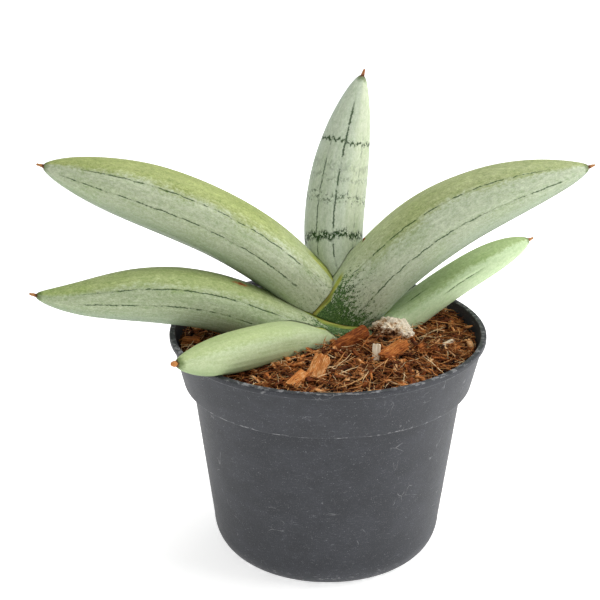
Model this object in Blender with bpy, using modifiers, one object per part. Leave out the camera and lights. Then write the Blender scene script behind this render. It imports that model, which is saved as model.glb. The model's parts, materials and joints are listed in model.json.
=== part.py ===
"""A small potted snake plant: six stout, fanned leaves in a round nursery pot filled with husk soil.

Lengths are written in millimetres and turned into metres by MM. +Z is up, and the origin is the middle of
the pot's underside. Leaves are listed from the youngest, innermost one outwards: every leaf's base clasps the
leaves before it in the list, so it is cut clear of each of them.
"""

import math
import random
from dataclasses import dataclass

import bmesh
import bpy
from mathutils import Matrix, Vector

MM = 0.001
GAP = 0.3  # clearance between two pieces that touch

# Pot
RIM_RADIUS = 60.0
POT_HEIGHT = 88.0
LIP_WIDTH = 2.2  # flat top of the rim
LIP_HEIGHT = 2.0
LIP_REACH = 1.2  # how far the lip stands out past the collar
COLLAR_HEIGHT = 19.5
COLLAR_TAPER = 3.9  # how much the collar narrows from top to bottom
COLLAR_STEP = 3.2  # how far the body is set in below the collar
BODY_TAPER = 7.1  # how much the body narrows down to the start of the foot's curve
FOOT_HEIGHT = 11.0  # height of the curved corner above the underside
FOOT_REACH = 7.4  # how far that corner curves in
WALL = 1.3
FLOOR = 1.8
POT_STEPS = 64
HOLE_COUNT = 6
HOLE_RADIUS = 4.0
HOLE_CIRCLE = 27.0

# Soil
SOIL_DEPTH = 5.0  # from the rim's top down to the soil at the wall
SOIL_CROWN = 2.5  # how much higher the soil stands in the middle
SOIL_LUMP = 0.8
SOIL_RINGS = 9
SOIL_SEED = 11

# Leaves
LEAF_SIDES = 22
LEAF_STATIONS = 24
POINT_LENGTH = 2.6  # the dry brown point at a leaf's end
POINT_NECK = 0.9
POINT_END = 0.35
BREADTH = 1.04  # sideways width over thickness, once the leaf has left its base
CLASP_REACH = 0.30  # share of the length over which the clasping base turns into a round leaf
CLASP_SQUARENESS = 4.0  # exponent of the base's superellipse; 2 is an ellipse
GROOVE_DEPTH = 0.16  # of the girth, at the base
GROOVE_SPREAD = 0.55  # half-angle of the groove in radians
GROOVE_REACH = 0.7  # share of the length where it has died out


@dataclass(frozen=True)
class Leaf:
    """How one leaf grows: the root's height is from the soil's edge, the rise is at four shares of length."""

    name: str
    root: tuple
    heading: float
    sweep: float
    rise: tuple
    length: float
    girth: float
    sheath: float
    clasp: float
    fullest: float
    bluntness: float


LEAVES = (
    Leaf(
        "leaf_front_left", (2.0, 6.0, -10.0), 228.0, 0.0, (50.0, 15.5, 6.6, 16.0),
        89.2, 7.65, 7.4, 12.0, 0.55, 2.35,
    ),
    Leaf(
        "leaf_right_low", (5.0, -1.0, -3.0), 27.0, 0.0, (0.0, 26.0, 21.0, 14.5),
        93.3, 6.6, 8.2, 8.0, 0.5, 3.5,
    ),
    Leaf(
        "leaf_left_low", (11.5, 7.0, -3.5), 189.0, 0.0, (-3.0, 25.0, 2.5, 19.0),
        127.3, 11.0, 10.2, 11.5, 0.56, 1.55,
    ),
    Leaf(
        "leaf_right_high", (-2.0, 9.0, 1.0), 4.0, 0.0, (43.0, 43.0, 21.0, 18.5),
        123.5, 13.7, 11.2, 10.2, 0.38, 2.1,
    ),
    Leaf(
        "leaf_left_high", (5.5, 9.0, 0.0), 181.0, 0.0, (60.5, 36.5, 20.0, 16.0),
        135.3, 12.6, 8.8, 8.3, 0.48, 2.6,
    ),
    Leaf(
        "leaf_centre", (11.3, 10.0, -0.3), 145.0, -150.0, (57.0, 65.0, 75.0, 72.5),
        104.0, 11.5, 5.0, 5.0, 0.42, 2.15,
    ),
)


@dataclass(frozen=True)
class Chip:
    """One loose piece on the soil: its middle, from the soil's edge up, its size, turn, pitch and roll."""

    name: str
    centre: tuple
    size: tuple
    turn: float
    pitch: float
    roll: float
    taper: float
    seed: int


CHIPS = (
    Chip("bark_chip_long", (8.3, -12.5, 5.2), (14.0, 4.4, 4.6), 23.0, 21.0, 10.0, 0.20, 1),
    Chip("husk_block_front", (-4.0, -36.0, 4.0), (10.0, 5.4, 4.6), 66.0, 32.0, 0.0, 0.06, 2),
    Chip("husk_chip_front", (-11.4, -43.0, 2.6), (9.0, 4.2, 3.0), 53.0, 12.0, 8.0, 0.15, 3),
    Chip("husk_chip_side", (23.6, -19.6, 3.6), (12.0, 5.6, 4.6), 43.0, 13.0, -12.0, 0.25, 4),
    Chip("husk_chip_pale", (17.4, -21.6, 4.0), (5.6, 3.4, 2.4), 80.0, 62.0, 0.0, 0.25, 5),
    Chip("husk_stick_right", (45.0, -8.0, 2.0), (5.0, 1.5, 1.2), 35.0, 8.0, 0.0, 0.10, 6),
)
KNOB_CENTRE = (24.0, -2.6, 4.8)  # height from the soil's edge
KNOB_SIZE = (14.5, 10.0, 9.6)
KNOB_ROUGHNESS = 0.16
KNOB_SEED = 7

# Finish of each kind of piece: base colour (linear), roughness
LEAF_FINISH = ((0.34, 0.42, 0.28, 1.0), 0.45)
POT_FINISH = ((0.055, 0.058, 0.065, 1.0), 0.55)
SOIL_FINISH = ((0.20, 0.075, 0.025, 1.0), 0.95)
CHIP_FINISH = ((0.36, 0.14, 0.045, 1.0), 0.9)
PALE_FINISH = ((0.62, 0.47, 0.30, 1.0), 0.9)


def clear_scene():
    """Removes every object of the opening scene."""
    for item in list(bpy.data.objects):
        bpy.data.objects.remove(item, do_unlink=True)


def new_collection(name, hidden=False):
    """Adds a collection, which is left out of the part where it holds cutters."""
    made = bpy.data.collections.new(name)
    made.hide_render = hidden
    bpy.context.scene.collection.children.link(made)
    return made


def new_material(name, finish):
    """A Principled material with one colour and one roughness."""
    colour, roughness = finish
    made = bpy.data.materials.new(name)
    made.use_nodes = True
    shader = made.node_tree.nodes["Principled BSDF"]
    shader.inputs["Base Color"].default_value = colour
    shader.inputs["Roughness"].default_value = roughness
    shader.inputs["Metallic"].default_value = 0.0
    return made


def add_object(name, shape, collection, material=None):
    """Puts a bmesh into a collection as one object, with its faces turned outward."""
    bmesh.ops.recalc_face_normals(shape, faces=shape.faces)
    mesh = bpy.data.meshes.new(name)
    shape.to_mesh(mesh)
    shape.free()
    item = bpy.data.objects.new(name, mesh)
    collection.objects.link(item)
    if material:
        mesh.materials.append(material)
    if collection.hide_render:
        item.hide_render = True
        item.display_type = "WIRE"
    return item


def shade(item):
    """Smooth shading that keeps edges over 35 degrees crisp."""
    item.data.shade_smooth()
    item.data.set_sharp_from_angle(angle=math.radians(35.0))


def above_soil(place):
    """A place whose height is given from the soil's edge, as a vector from the pot's underside."""
    return Vector((place[0], place[1], place[2] + POT_HEIGHT - SOIL_DEPTH))


# Revolved pieces


def foot_curve(radius, top, reach, low, count=6):
    """A quarter of an ellipse that turns a wall in to a flat floor, from the wall's end down."""
    turn = [math.pi / 2 * i / count for i in range(count + 1)]
    return [(radius - reach * (1 - math.cos(a)), low + (top - low) * (1 - math.sin(a))) for a in turn]


def outer_profile():
    """The pot's outside as (radius, height), from the rim's top down to the underside."""
    collar_top = RIM_RADIUS - LIP_REACH
    collar_foot = POT_HEIGHT - COLLAR_HEIGHT
    body_top = collar_top - COLLAR_TAPER - COLLAR_STEP
    body_foot = body_top - BODY_TAPER
    return [
        (RIM_RADIUS - 0.5, POT_HEIGHT),
        (RIM_RADIUS, POT_HEIGHT - 0.5),
        (RIM_RADIUS - 0.1, POT_HEIGHT - LIP_HEIGHT),
        (collar_top, POT_HEIGHT - LIP_HEIGHT - 0.6),
        (collar_top - COLLAR_TAPER, collar_foot + 0.6),
        (collar_top - COLLAR_TAPER - 0.7, collar_foot),
        (body_top, collar_foot - 0.5),
    ] + foot_curve(body_foot, FOOT_HEIGHT, FOOT_REACH, 0.0)


def inner_profile(inset=0.0):
    """The pot's inside as (radius, height), from under the lip down to the floor, moved in by inset."""
    wall = WALL + inset
    collar_top = RIM_RADIUS - LIP_REACH - wall
    collar_foot = POT_HEIGHT - COLLAR_HEIGHT
    body_top = collar_top - COLLAR_TAPER - COLLAR_STEP
    body_foot = body_top - BODY_TAPER
    return [
        (collar_top, POT_HEIGHT - LIP_HEIGHT),
        (collar_top - COLLAR_TAPER, collar_foot + WALL),
        (body_top, collar_foot),
    ] + foot_curve(body_foot, FOOT_HEIGHT + FLOOR, FOOT_REACH, FLOOR + inset)


def bore_radius(height, inset=0.0):
    """The inside radius of the pot at a height, moved in by inset."""
    path = inner_profile(inset)
    for (high_r, high_z), (low_r, low_z) in zip(path, path[1:]):
        if low_z <= height <= high_z:
            share = (height - low_z) / (high_z - low_z)
            return low_r + (high_r - low_r) * share
    return path[0][0]


def add_turned(name, profile, collection, material=None, ring=False):
    """Turns a profile about Z with a Screw modifier; a ring's profile closes on itself."""
    shape = bmesh.new()
    points = [shape.verts.new((r * MM, 0.0, z * MM)) for r, z in profile]
    for first, second in zip(points, points[1:] + points[:1] if ring else points[1:]):
        shape.edges.new((first, second))
    item = add_object(name, shape, collection, material)
    turn = item.modifiers.new("Turn", "SCREW")
    turn.steps = POT_STEPS
    turn.render_steps = POT_STEPS
    turn.use_merge_vertices = True
    turn.merge_threshold = 0.00001
    turn.use_smooth_shade = True
    return item


def add_cylinder(name, radius, low, high, place, collection):
    """An upright cylinder, used as a drill."""
    shape = bmesh.new()
    bmesh.ops.create_cone(
        shape, cap_ends=True, segments=24, radius1=radius * MM, radius2=radius * MM, depth=(high - low) * MM
    )
    middle = Vector((place[0], place[1], (low + high) / 2)) * MM
    bmesh.ops.translate(shape, verts=shape.verts, vec=middle)
    return add_object(name, shape, collection)


def cut(item, cutter):
    """Takes one object's shape out of another with an exact Boolean."""
    step = item.modifiers.new(f"Cut {cutter.name}", "BOOLEAN")
    step.operation = "DIFFERENCE"
    step.solver = "EXACT"
    step.use_self = True
    step.object = cutter


def add_rim_room(collection):
    """The space that the rim takes up with its clearance, which a leaf lying over it keeps out of."""
    low = POT_HEIGHT - LIP_HEIGHT - 4.0
    inner = RIM_RADIUS - LIP_REACH - COLLAR_TAPER - WALL - GAP
    outer = RIM_RADIUS + GAP
    high = POT_HEIGHT + GAP
    profile = [(inner, low), (RIM_RADIUS - LIP_WIDTH - GAP, high), (outer, high), (outer, low)]
    return add_turned("rim_room", profile, collection, ring=True)


def add_pot(collection, cutters):
    """The nursery pot: lip, tapered collar, tapered body, curved foot and drainage holes."""
    profile = [(0.0, FLOOR)] + inner_profile()[::-1]
    profile += [(RIM_RADIUS - LIP_WIDTH, POT_HEIGHT - 0.4), (RIM_RADIUS - LIP_WIDTH + 0.4, POT_HEIGHT)]
    profile += outer_profile() + [(0.0, 0.0)]
    pot = add_turned("pot", profile, collection, new_material("recycled_plastic", POT_FINISH))
    for index in range(HOLE_COUNT):
        angle = 2 * math.pi * index / HOLE_COUNT
        place = (HOLE_CIRCLE * math.cos(angle), HOLE_CIRCLE * math.sin(angle))
        cut(pot, add_cylinder(f"drain_{index}", HOLE_RADIUS, -2.0, FLOOR + 2.0, place, cutters))
    return pot


# Leaves


def rise_at(leaf, share):
    """The leaf's rise in degrees: a cubic through its four values (Lagrange's form)."""
    total = 0.0
    last = len(leaf.rise) - 1
    for i, value in enumerate(leaf.rise):
        weight = 1.0
        for j in range(last + 1):
            if j != i:
                weight *= (share * last - j) / (i - j)
        total += value * weight
    return total


def spine(leaf, steps=180):
    """Points along the leaf's middle, in millimetres, at even steps."""
    here = above_soil(leaf.root)
    points = [here.copy()]
    for index in range(steps):
        share = (index + 0.5) / steps
        rise = math.radians(rise_at(leaf, share))
        turn = math.radians(leaf.heading + leaf.sweep * share)
        way = Vector((math.cos(rise) * math.cos(turn), math.cos(rise) * math.sin(turn), math.sin(rise)))
        here = here + way * (leaf.length / steps)
        points.append(here.copy())
    return points


def half_thickness(leaf, share):
    """The leaf's half-thickness at a share of its length, down to the dry point."""
    blade_end = 1.0 - POINT_LENGTH / leaf.length
    if share < leaf.fullest:
        return leaf.sheath + (leaf.girth - leaf.sheath) * math.sin(math.pi / 2 * share / leaf.fullest)
    if share < blade_end:
        gone = (share - leaf.fullest) / (blade_end - leaf.fullest)
        return POINT_NECK + (leaf.girth - POINT_NECK) * (1.0 - gone**leaf.bluntness) ** 0.75
    return POINT_NECK + (POINT_END - POINT_NECK) * (share - blade_end) / (1.0 - blade_end)


def stations(leaf):
    """Shares of the length at which the leaf has a section, closer together towards the blade's end."""
    blade_end = 1.0 - POINT_LENGTH / leaf.length
    shares = [blade_end * (1.0 - (1.0 - i / LEAF_STATIONS) ** 1.5) for i in range(LEAF_STATIONS + 1)]
    return shares + [(blade_end + 1.0) / 2, 1.0]


def fade(share, reach):
    """Falls smoothly from 1 at the base to 0 at the given share of the length."""
    left = max(0.0, 1.0 - share / reach)
    return left * left * (3.0 - 2.0 * left)


def powered(value, exponent):
    """A power that keeps the sign."""
    return math.copysign(abs(value) ** exponent, value)


def section(leaf, share, swell):
    """One cross-section as (sideways, upward) offsets: square and wide at the clasping base, round above it,
    with a groove along the leaf's upper side."""
    thick = half_thickness(leaf, share) + swell
    clasping = fade(share, CLASP_REACH)
    broad = thick * BREADTH + (leaf.clasp + swell - thick * BREADTH) * clasping
    power = 2.0 / (2.0 + (CLASP_SQUARENESS - 2.0) * clasping)
    groove = GROOVE_DEPTH * thick * max(0.0, 1.0 - share / GROOVE_REACH)
    points = []
    for index in range(LEAF_SIDES):
        angle = 2 * math.pi * index / LEAF_SIDES
        from_top = abs(angle - math.pi) / GROOVE_SPREAD
        up = -thick * powered(math.cos(angle), power) - groove * math.exp(-(from_top**2))
        points.append((broad * powered(math.sin(angle), power), up))
    return points


def add_leaf(leaf, collection, material=None, swell=0.0):
    """Lofts one leaf from its clasping base to its dry point, swollen where it is to cut another piece."""
    points = spine(leaf)
    last = len(points) - 1
    shape = bmesh.new()
    rings = []
    upward = None
    for share in stations(leaf):
        place = share * last
        index = min(int(place), last - 1)
        middle = points[index].lerp(points[index + 1], place - index)
        tangent = (points[min(index + 2, last)] - points[max(index - 1, 0)]).normalized()
        upward = upward or Vector((0.0, 0.0, 1.0))
        upward = (upward - tangent * upward.dot(tangent)).normalized()
        sideways = tangent.cross(upward)
        middle = middle + tangent * (swell * (2.0 * share - 1.0))
        ring = []
        for side, up in section(leaf, share, swell):
            ring.append(shape.verts.new((middle + sideways * side + upward * up) * MM))
        rings.append(ring)
    for low, high in zip(rings, rings[1:]):
        for i in range(LEAF_SIDES):
            j = (i + 1) % LEAF_SIDES
            shape.faces.new((low[i], low[j], high[j], high[i]))
    shape.faces.new(rings[0])
    shape.faces.new(rings[-1])
    name = leaf.name if material else f"{leaf.name}_room"
    return add_object(name, shape, collection, material)


# Soil and what lies on it


def add_soil(collection, material):
    """Soil that fills the pot up to below its rim, mounded and lumpy on top."""
    level = POT_HEIGHT - SOIL_DEPTH
    reach = bore_radius(level, GAP)
    side = [(r, z) for r, z in inner_profile(GAP) if z < level]
    profile = [(0.0, level)]
    profile += [(reach * (i + 1) / SOIL_RINGS, level) for i in range(SOIL_RINGS)]
    profile += side + [(0.0, FLOOR + GAP)]
    shape = bmesh.new()
    points = [shape.verts.new((r * MM, 0.0, z * MM)) for r, z in profile]
    lines = [shape.edges.new(pair) for pair in zip(points, points[1:])]
    bmesh.ops.spin(
        shape, geom=points + lines, cent=(0, 0, 0), axis=(0, 0, 1),
        angle=2 * math.pi, steps=POT_STEPS, use_merge=True,
    )
    bmesh.ops.remove_doubles(shape, verts=shape.verts, dist=0.00001)
    dice = random.Random(SOIL_SEED)
    for point in shape.verts:
        radius = math.hypot(point.co.x, point.co.y) / MM
        if point.co.z > (level - 0.01) * MM and radius < reach - 0.01:
            mound = SOIL_CROWN * (1.0 - (radius / reach) ** 2)
            point.co.z += (mound + dice.uniform(-SOIL_LUMP, SOIL_LUMP)) * MM
    return add_object("soil", shape, collection, material)


def chip_matrix(chip):
    """Where a chip lies: pitched and rolled about its own axes, then turned about Z."""
    place = Matrix.Translation(above_soil(chip.centre) * MM)
    turn = Matrix.Rotation(math.radians(chip.turn), 4, "Z")
    pitch = Matrix.Rotation(math.radians(-chip.pitch), 4, "Y")
    roll = Matrix.Rotation(math.radians(chip.roll), 4, "X")
    return place @ turn @ pitch @ roll


def add_chip(chip, collection, material=None, swell=0.0):
    """A broken block with uneven corners, swollen where it is to cut another piece."""
    dice = random.Random(chip.seed)
    shape = bmesh.new()
    bmesh.ops.create_cube(shape, size=1.0)
    size = Vector(chip.size)
    for point in shape.verts:
        uneven = [1.0 - chip.taper * dice.random() for _ in range(3)]
        half = Vector([size[k] / 2 * uneven[k] + swell for k in range(3)])
        point.co = Vector([math.copysign(half[k], point.co[k]) for k in range(3)]) * MM
    bmesh.ops.triangulate(shape, faces=shape.faces)
    bmesh.ops.transform(shape, matrix=chip_matrix(chip), verts=shape.verts)
    return add_object(chip.name if material else f"{chip.name}_room", shape, collection, material)


def add_knob(collection, material=None, swell=0.0):
    """The rough, pale lump of dried fibre beside the crown."""
    dice = random.Random(KNOB_SEED)
    centre = above_soil(KNOB_CENTRE)
    shape = bmesh.new()
    bmesh.ops.create_icosphere(shape, subdivisions=3, radius=1.0)
    for point in shape.verts:
        rough = 1.0 - KNOB_ROUGHNESS * dice.random()
        half = Vector([s / 2 * rough + swell for s in KNOB_SIZE])
        point.co = Vector([point.co[k] * half[k] + centre[k] for k in range(3)]) * MM
    return add_object("bark_knob" if material else "bark_knob_room", shape, collection, material)


def island_volume(faces):
    """The volume that a closed island of triangles holds."""
    total = 0.0
    for face in faces:
        a, b, c = (loop.vert.co for loop in face.loops)
        total += a.dot(b.cross(c)) / 6.0
    return total


def islands(shape):
    """The separate islands of a bmesh, as lists of faces."""
    left = set(shape.faces)
    found = []
    while left:
        todo = [left.pop()]
        island = []
        while todo:
            face = todo.pop()
            island.append(face)
            near = {other for edge in face.edges for other in edge.link_faces} & left
            left -= near
            todo.extend(near)
        found.append(island)
    return found


def carve(item, rooms):
    """Cuts an object clear of each neighbour's room and keeps its one main body."""
    for room in rooms:
        cut(item, room)
    graph = bpy.context.evaluated_depsgraph_get()
    mesh = bpy.data.meshes.new_from_object(item.evaluated_get(graph))
    shape = bmesh.new()
    shape.from_mesh(mesh)
    bmesh.ops.triangulate(shape, faces=shape.faces)
    found = sorted(islands(shape), key=island_volume, reverse=True)
    crumbs = [face for island in found[1:] for face in island]
    bmesh.ops.delete(shape, geom=crumbs, context="FACES")
    shape.to_mesh(mesh)
    shape.free()
    item.modifiers.clear()
    item.data = mesh


def main():
    """Builds the pot, the leaves from the innermost outwards, the soil and the loose pieces on it."""
    clear_scene()
    plant = new_collection("potted_snake_plant")
    cutters = new_collection("cutters", hidden=True)
    pot = add_pot(plant, cutters)
    rim_room = add_rim_room(cutters)
    leaf_rooms = []
    leaves = []
    for leaf in LEAVES:
        material = new_material(f"{leaf.name}_skin", LEAF_FINISH)
        item = add_leaf(leaf, plant, material)
        carve(item, leaf_rooms + [rim_room])
        leaves.append(item)
        leaf_rooms.append(add_leaf(leaf, cutters, swell=GAP))
    chip_rooms = []
    loose = []
    for chip in CHIPS:
        pale = chip.name in ("husk_chip_pale", "husk_stick_right")
        material = new_material(f"{chip.name}_husk", PALE_FINISH if pale else CHIP_FINISH)
        item = add_chip(chip, plant, material)
        carve(item, leaf_rooms + chip_rooms)
        loose.append(item)
        chip_rooms.append(add_chip(chip, cutters, swell=GAP))
    knob = add_knob(plant, new_material("dried_fibre", PALE_FINISH))
    carve(knob, leaf_rooms + chip_rooms)
    chip_rooms.append(add_knob(cutters, swell=GAP))
    soil = add_soil(plant, new_material("husk_soil", SOIL_FINISH))
    carve(soil, leaf_rooms + chip_rooms)
    for item in leaves:
        shade(item)
    print("built", len(plant.objects), "pieces, pot with", len(pot.modifiers), "steps")


main()
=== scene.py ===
"""Looks of a small potted snake plant: six stout, fanned leaves in a round nursery pot of husk soil.

Sizes are in millimetres and turned into metres by MM. +Z is up and the origin is the middle of the pot's
underside, as in the CAD frame. Most pieces replace the CAD node of the same place, and the loose bits on the
soil replace none. All of them ride on the root body.
"""

import json
import logging
import math
import random
from dataclasses import dataclass
from enum import Enum
from typing import Sequence, Union

import bmesh
import bpy
from mathutils import Matrix, Vector, noise
from mathutils.bvhtree import BVHTree

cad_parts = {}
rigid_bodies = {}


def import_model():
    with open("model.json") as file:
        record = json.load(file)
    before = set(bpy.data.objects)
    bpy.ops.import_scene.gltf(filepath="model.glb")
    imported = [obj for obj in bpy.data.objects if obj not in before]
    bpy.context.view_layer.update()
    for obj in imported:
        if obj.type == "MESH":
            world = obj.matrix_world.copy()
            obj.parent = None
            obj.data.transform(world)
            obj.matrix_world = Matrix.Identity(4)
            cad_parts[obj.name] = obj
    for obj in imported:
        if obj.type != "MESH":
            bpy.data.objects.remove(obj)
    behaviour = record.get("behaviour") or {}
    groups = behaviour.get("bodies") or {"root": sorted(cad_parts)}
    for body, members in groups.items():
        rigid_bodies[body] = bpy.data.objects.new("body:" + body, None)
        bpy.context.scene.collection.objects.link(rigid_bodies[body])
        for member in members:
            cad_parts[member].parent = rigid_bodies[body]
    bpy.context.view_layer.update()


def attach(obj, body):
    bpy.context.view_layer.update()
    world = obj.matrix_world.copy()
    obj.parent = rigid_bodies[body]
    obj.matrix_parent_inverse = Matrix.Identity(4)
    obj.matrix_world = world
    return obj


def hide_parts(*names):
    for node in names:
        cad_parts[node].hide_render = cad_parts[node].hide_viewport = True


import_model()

log = logging.getLogger("snake_plant")
NOISE_SEED = 11
MM = 0.001
BODY = "root"

Colour = tuple[float, float, float, float]
Socket = Union[bpy.types.NodeSocket, float, int, str, tuple, Vector]

MATH = "ShaderNodeMath"
MIX = "ShaderNodeMix"
RANGE = "ShaderNodeMapRange"
NOISE = "ShaderNodeTexNoise"
CELLS = "ShaderNodeTexVoronoi"
RAMP = "ShaderNodeValToRGB"
MAPPING = "ShaderNodeMapping"
SPLIT = "ShaderNodeSeparateXYZ"
ATTRIBUTE = "ShaderNodeAttribute"
VECTOR_MATH = "ShaderNodeVectorMath"
JOIN = "ShaderNodeCombineXYZ"
DICE = "FunctionNodeRandomValue"
NAMED = "GeometryNodeInputNamedAttribute"


class Blend(Enum):
    """How a Mix node lays one colour over another."""

    OVER = "MIX"
    SOFT = "SOFT_LIGHT"


def linear(code: str) -> Colour:
    """Turns an sRGB hex colour into a linear one.

    Args:
        code: six hex digits.

    Returns:
        Red, green, blue and an alpha of 1.
    """
    parts = [int(code[i : i + 2], 16) / 255.0 for i in (0, 2, 4)]
    red, green, blue = (p / 12.92 if p <= 0.04045 else ((p + 0.055) / 1.055) ** 2.4 for p in parts)
    return (red, green, blue, 1.0)


def add_node(
    tree: bpy.types.NodeTree,
    kind: str,
    inputs: dict[int | str, Socket] | Sequence[Socket] = (),
    out: int | str = 0,
    stops: Sequence[tuple[float, str]] = (),
    **settings: object,
) -> bpy.types.NodeSocket | None:
    """Adds one node with its settings and links.

    Args:
        tree: the tree that gets the node.
        kind: the node's type.
        inputs: values or sockets by input, in order or by index or name.
        out: which output to hand back.
        stops: a colour ramp's places and sRGB hex colours.
        **settings: the node's own settings.

    Returns:
        The chosen output socket, or None for a node without outputs.
    """
    made = tree.nodes.new(kind)
    for key, value in settings.items():
        setattr(made, key, value)
    if stops:
        ramp = made.color_ramp
        while len(ramp.elements) < len(stops):
            ramp.elements.new(1.0)
        for element, (place, code) in zip(ramp.elements, stops):
            element.position = place
            element.color = linear(code)
    pairs = inputs.items() if isinstance(inputs, dict) else enumerate(inputs)
    for key, value in pairs:
        if isinstance(value, bpy.types.NodeSocket):
            tree.links.new(value, made.inputs[key])
        else:
            made.inputs[key].default_value = value
    return made.outputs[out] if len(made.outputs) else None


def part_of(socket: bpy.types.NodeSocket, name: int | str) -> bpy.types.NodeSocket:
    """Another output of the node that a socket belongs to."""
    return socket.node.outputs[name]


def overlay(
    tree: bpy.types.NodeTree, below: Socket, above: Socket, amount: Socket, blend: Blend = Blend.OVER
) -> bpy.types.NodeSocket:
    """Lays one colour over another.

    Args:
        tree: the material's tree.
        below: the colour underneath.
        above: the colour laid over it.
        amount: how much of it shows, 0 to 1.
        blend: how the two are mixed.

    Returns:
        The mixed colour.
    """
    return add_node(tree, MIX, {0: amount, 6: below, 7: above}, 2, data_type="RGBA", blend_type=blend.value)


def soft_step(
    tree: bpy.types.NodeTree, value: Socket, low: Socket, high: Socket, start: float = 0.0, end: float = 1.0
) -> bpy.types.NodeSocket:
    """A smooth ramp from start to end while a value goes from low to high, and flat outside.

    Args:
        tree: the material's tree.
        value: what is measured.
        low: where the ramp begins.
        high: where it ends.
        start: the result at low.
        end: the result at high.

    Returns:
        The ramp's value.
    """
    return add_node(tree, RANGE, (value, low, high, start, end), interpolation_type="SMOOTHSTEP")


def multiplied(tree: bpy.types.NodeTree, *amounts: Socket) -> Socket:
    """Multiplies several amounts, in the order given."""
    total = amounts[0]
    for amount in amounts[1:]:
        total = add_node(tree, MATH, (total, amount), operation="MULTIPLY")
    return total


def strongest(tree: bpy.types.NodeTree, amounts: Sequence[Socket]) -> Socket:
    """Joins several amounts into the largest of them."""
    total = amounts[0]
    for amount in amounts[1:]:
        total = add_node(tree, MATH, (total, amount), operation="MAXIMUM")
    return total


def new_material(name: str) -> tuple[bpy.types.Material, bpy.types.NodeTree, bpy.types.Node]:
    """Adds a material.

    Args:
        name: the real material's name.

    Returns:
        The material, its tree and its shader node.
    """
    made = bpy.data.materials.new(name)
    made.use_nodes = True
    return made, made.node_tree, made.node_tree.nodes["Principled BSDF"]


def plain_mesh(name: str, shape: bmesh.types.BMesh) -> bpy.types.Mesh:
    """Turns a bmesh into a named mesh and frees it."""
    mesh = bpy.data.meshes.new(name)
    shape.to_mesh(mesh)
    shape.free()
    return mesh


def store_floats(mesh: bpy.types.Mesh, name: str, values: Sequence[float]) -> None:
    """Stores one number per vertex under a name."""
    mesh.attributes.new(name, "FLOAT", "POINT").data.foreach_set("value", values)


def place_object(name: str, mesh: bpy.types.Mesh) -> bpy.types.Object:
    """Adds an object at the origin to the scene."""
    made = bpy.data.objects.new(name, mesh)
    bpy.context.scene.collection.objects.link(made)
    return made


def new_piece(name: str, mesh: bpy.types.Mesh, material: bpy.types.Material) -> bpy.types.Object:
    """Adds a piece at the origin with one material.

    Args:
        name: the piece's name.
        mesh: its mesh, in metres.
        material: its finish.

    Returns:
        The new object.
    """
    mesh.materials.clear()
    mesh.materials.append(material)
    return place_object(name, mesh)


def declare(piece: bpy.types.Object, slot: str, *nodes: str) -> None:
    """Rides a piece on the root body, hides the CAD nodes that it replaces and logs its slot.

    Args:
        piece: the finished piece.
        slot: the record's material slot.
        *nodes: the CAD nodes that it stands for.
    """
    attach(piece, BODY)
    if nodes:
        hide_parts(*nodes)
    triangles = sum(len(face.vertices) - 2 for face in piece.data.polygons)
    log.info("%s: %d triangles, slot %s", piece.name, triangles, slot)


def finished_mesh(piece: bpy.types.Object) -> bpy.types.Mesh:
    """The plain mesh that an object's modifiers make of it."""
    graph = bpy.context.evaluated_depsgraph_get()
    final = piece.evaluated_get(graph)
    return bpy.data.meshes.new_from_object(final, preserve_all_data_layers=True, depsgraph=graph)


def settle(piece: bpy.types.Object) -> None:
    """Turns an object's modifiers into its mesh and removes them."""
    mesh = finished_mesh(piece)
    piece.modifiers.clear()
    old = piece.data
    piece.data = mesh
    bpy.data.meshes.remove(old)


def subtract(piece: bpy.types.Object, cutter: bpy.types.Object, tangled: bool = False) -> None:
    """Adds an exact Boolean that takes a cutter's shape out of a piece.

    Args:
        piece: what is cut.
        cutter: what is taken out of it.
        tangled: whether either of them may cross itself.
    """
    step = piece.modifiers.new(f"Cut {cutter.name}", "BOOLEAN")
    step.operation = "DIFFERENCE"
    step.solver = "EXACT"
    step.use_self = tangled
    step.object = cutter


def keep_main_body(mesh: bpy.types.Mesh) -> None:
    """Deletes the crumbs that a cut leaves beside a mesh's biggest island."""
    shape = bmesh.new()
    shape.from_mesh(mesh)
    left = set(shape.faces)
    found: list[list[bmesh.types.BMFace]] = []
    while left:
        todo = [left.pop()]
        island = []
        while todo:
            face = todo.pop()
            island.append(face)
            near = {other for edge in face.edges for other in edge.link_faces} & left
            left -= near
            todo.extend(near)
        found.append(island)
    found.sort(key=lambda island: sum(face.calc_area() for face in island), reverse=True)
    crumbs = [face for island in found[1:] for face in island]
    if crumbs:
        bmesh.ops.delete(shape, geom=crumbs, context="FACES")
        shape.to_mesh(mesh)
    shape.free()


# Leaves


@dataclass(frozen=True)
class Vein:
    """One dark lengthwise line: degrees from the leaf's upper side and the stretch it shows on."""

    angle: float
    start: float
    end: float
    width: float = 0.35
    strength: float = 0.9
    gaps: float = 0.475


@dataclass(frozen=True)
class Band:
    """One dark cross band: its distance along the leaf, width and slant, and how broken up it is."""

    along: float
    width: float
    strength: float
    broken: float
    slant: float = 0.0


@dataclass(frozen=True)
class Palette:
    """The colours of one leaf's skin, as sRGB hex."""

    top: str
    side: str
    # low is the underside's cooler tone, darkened as painted shade
    low: str
    dark: str = "21430f"
    margin: str = "93a13c"
    neck: str = "4f6423"
    point: str = "b07a45"
    scorch: str = "5d3216"


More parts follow.
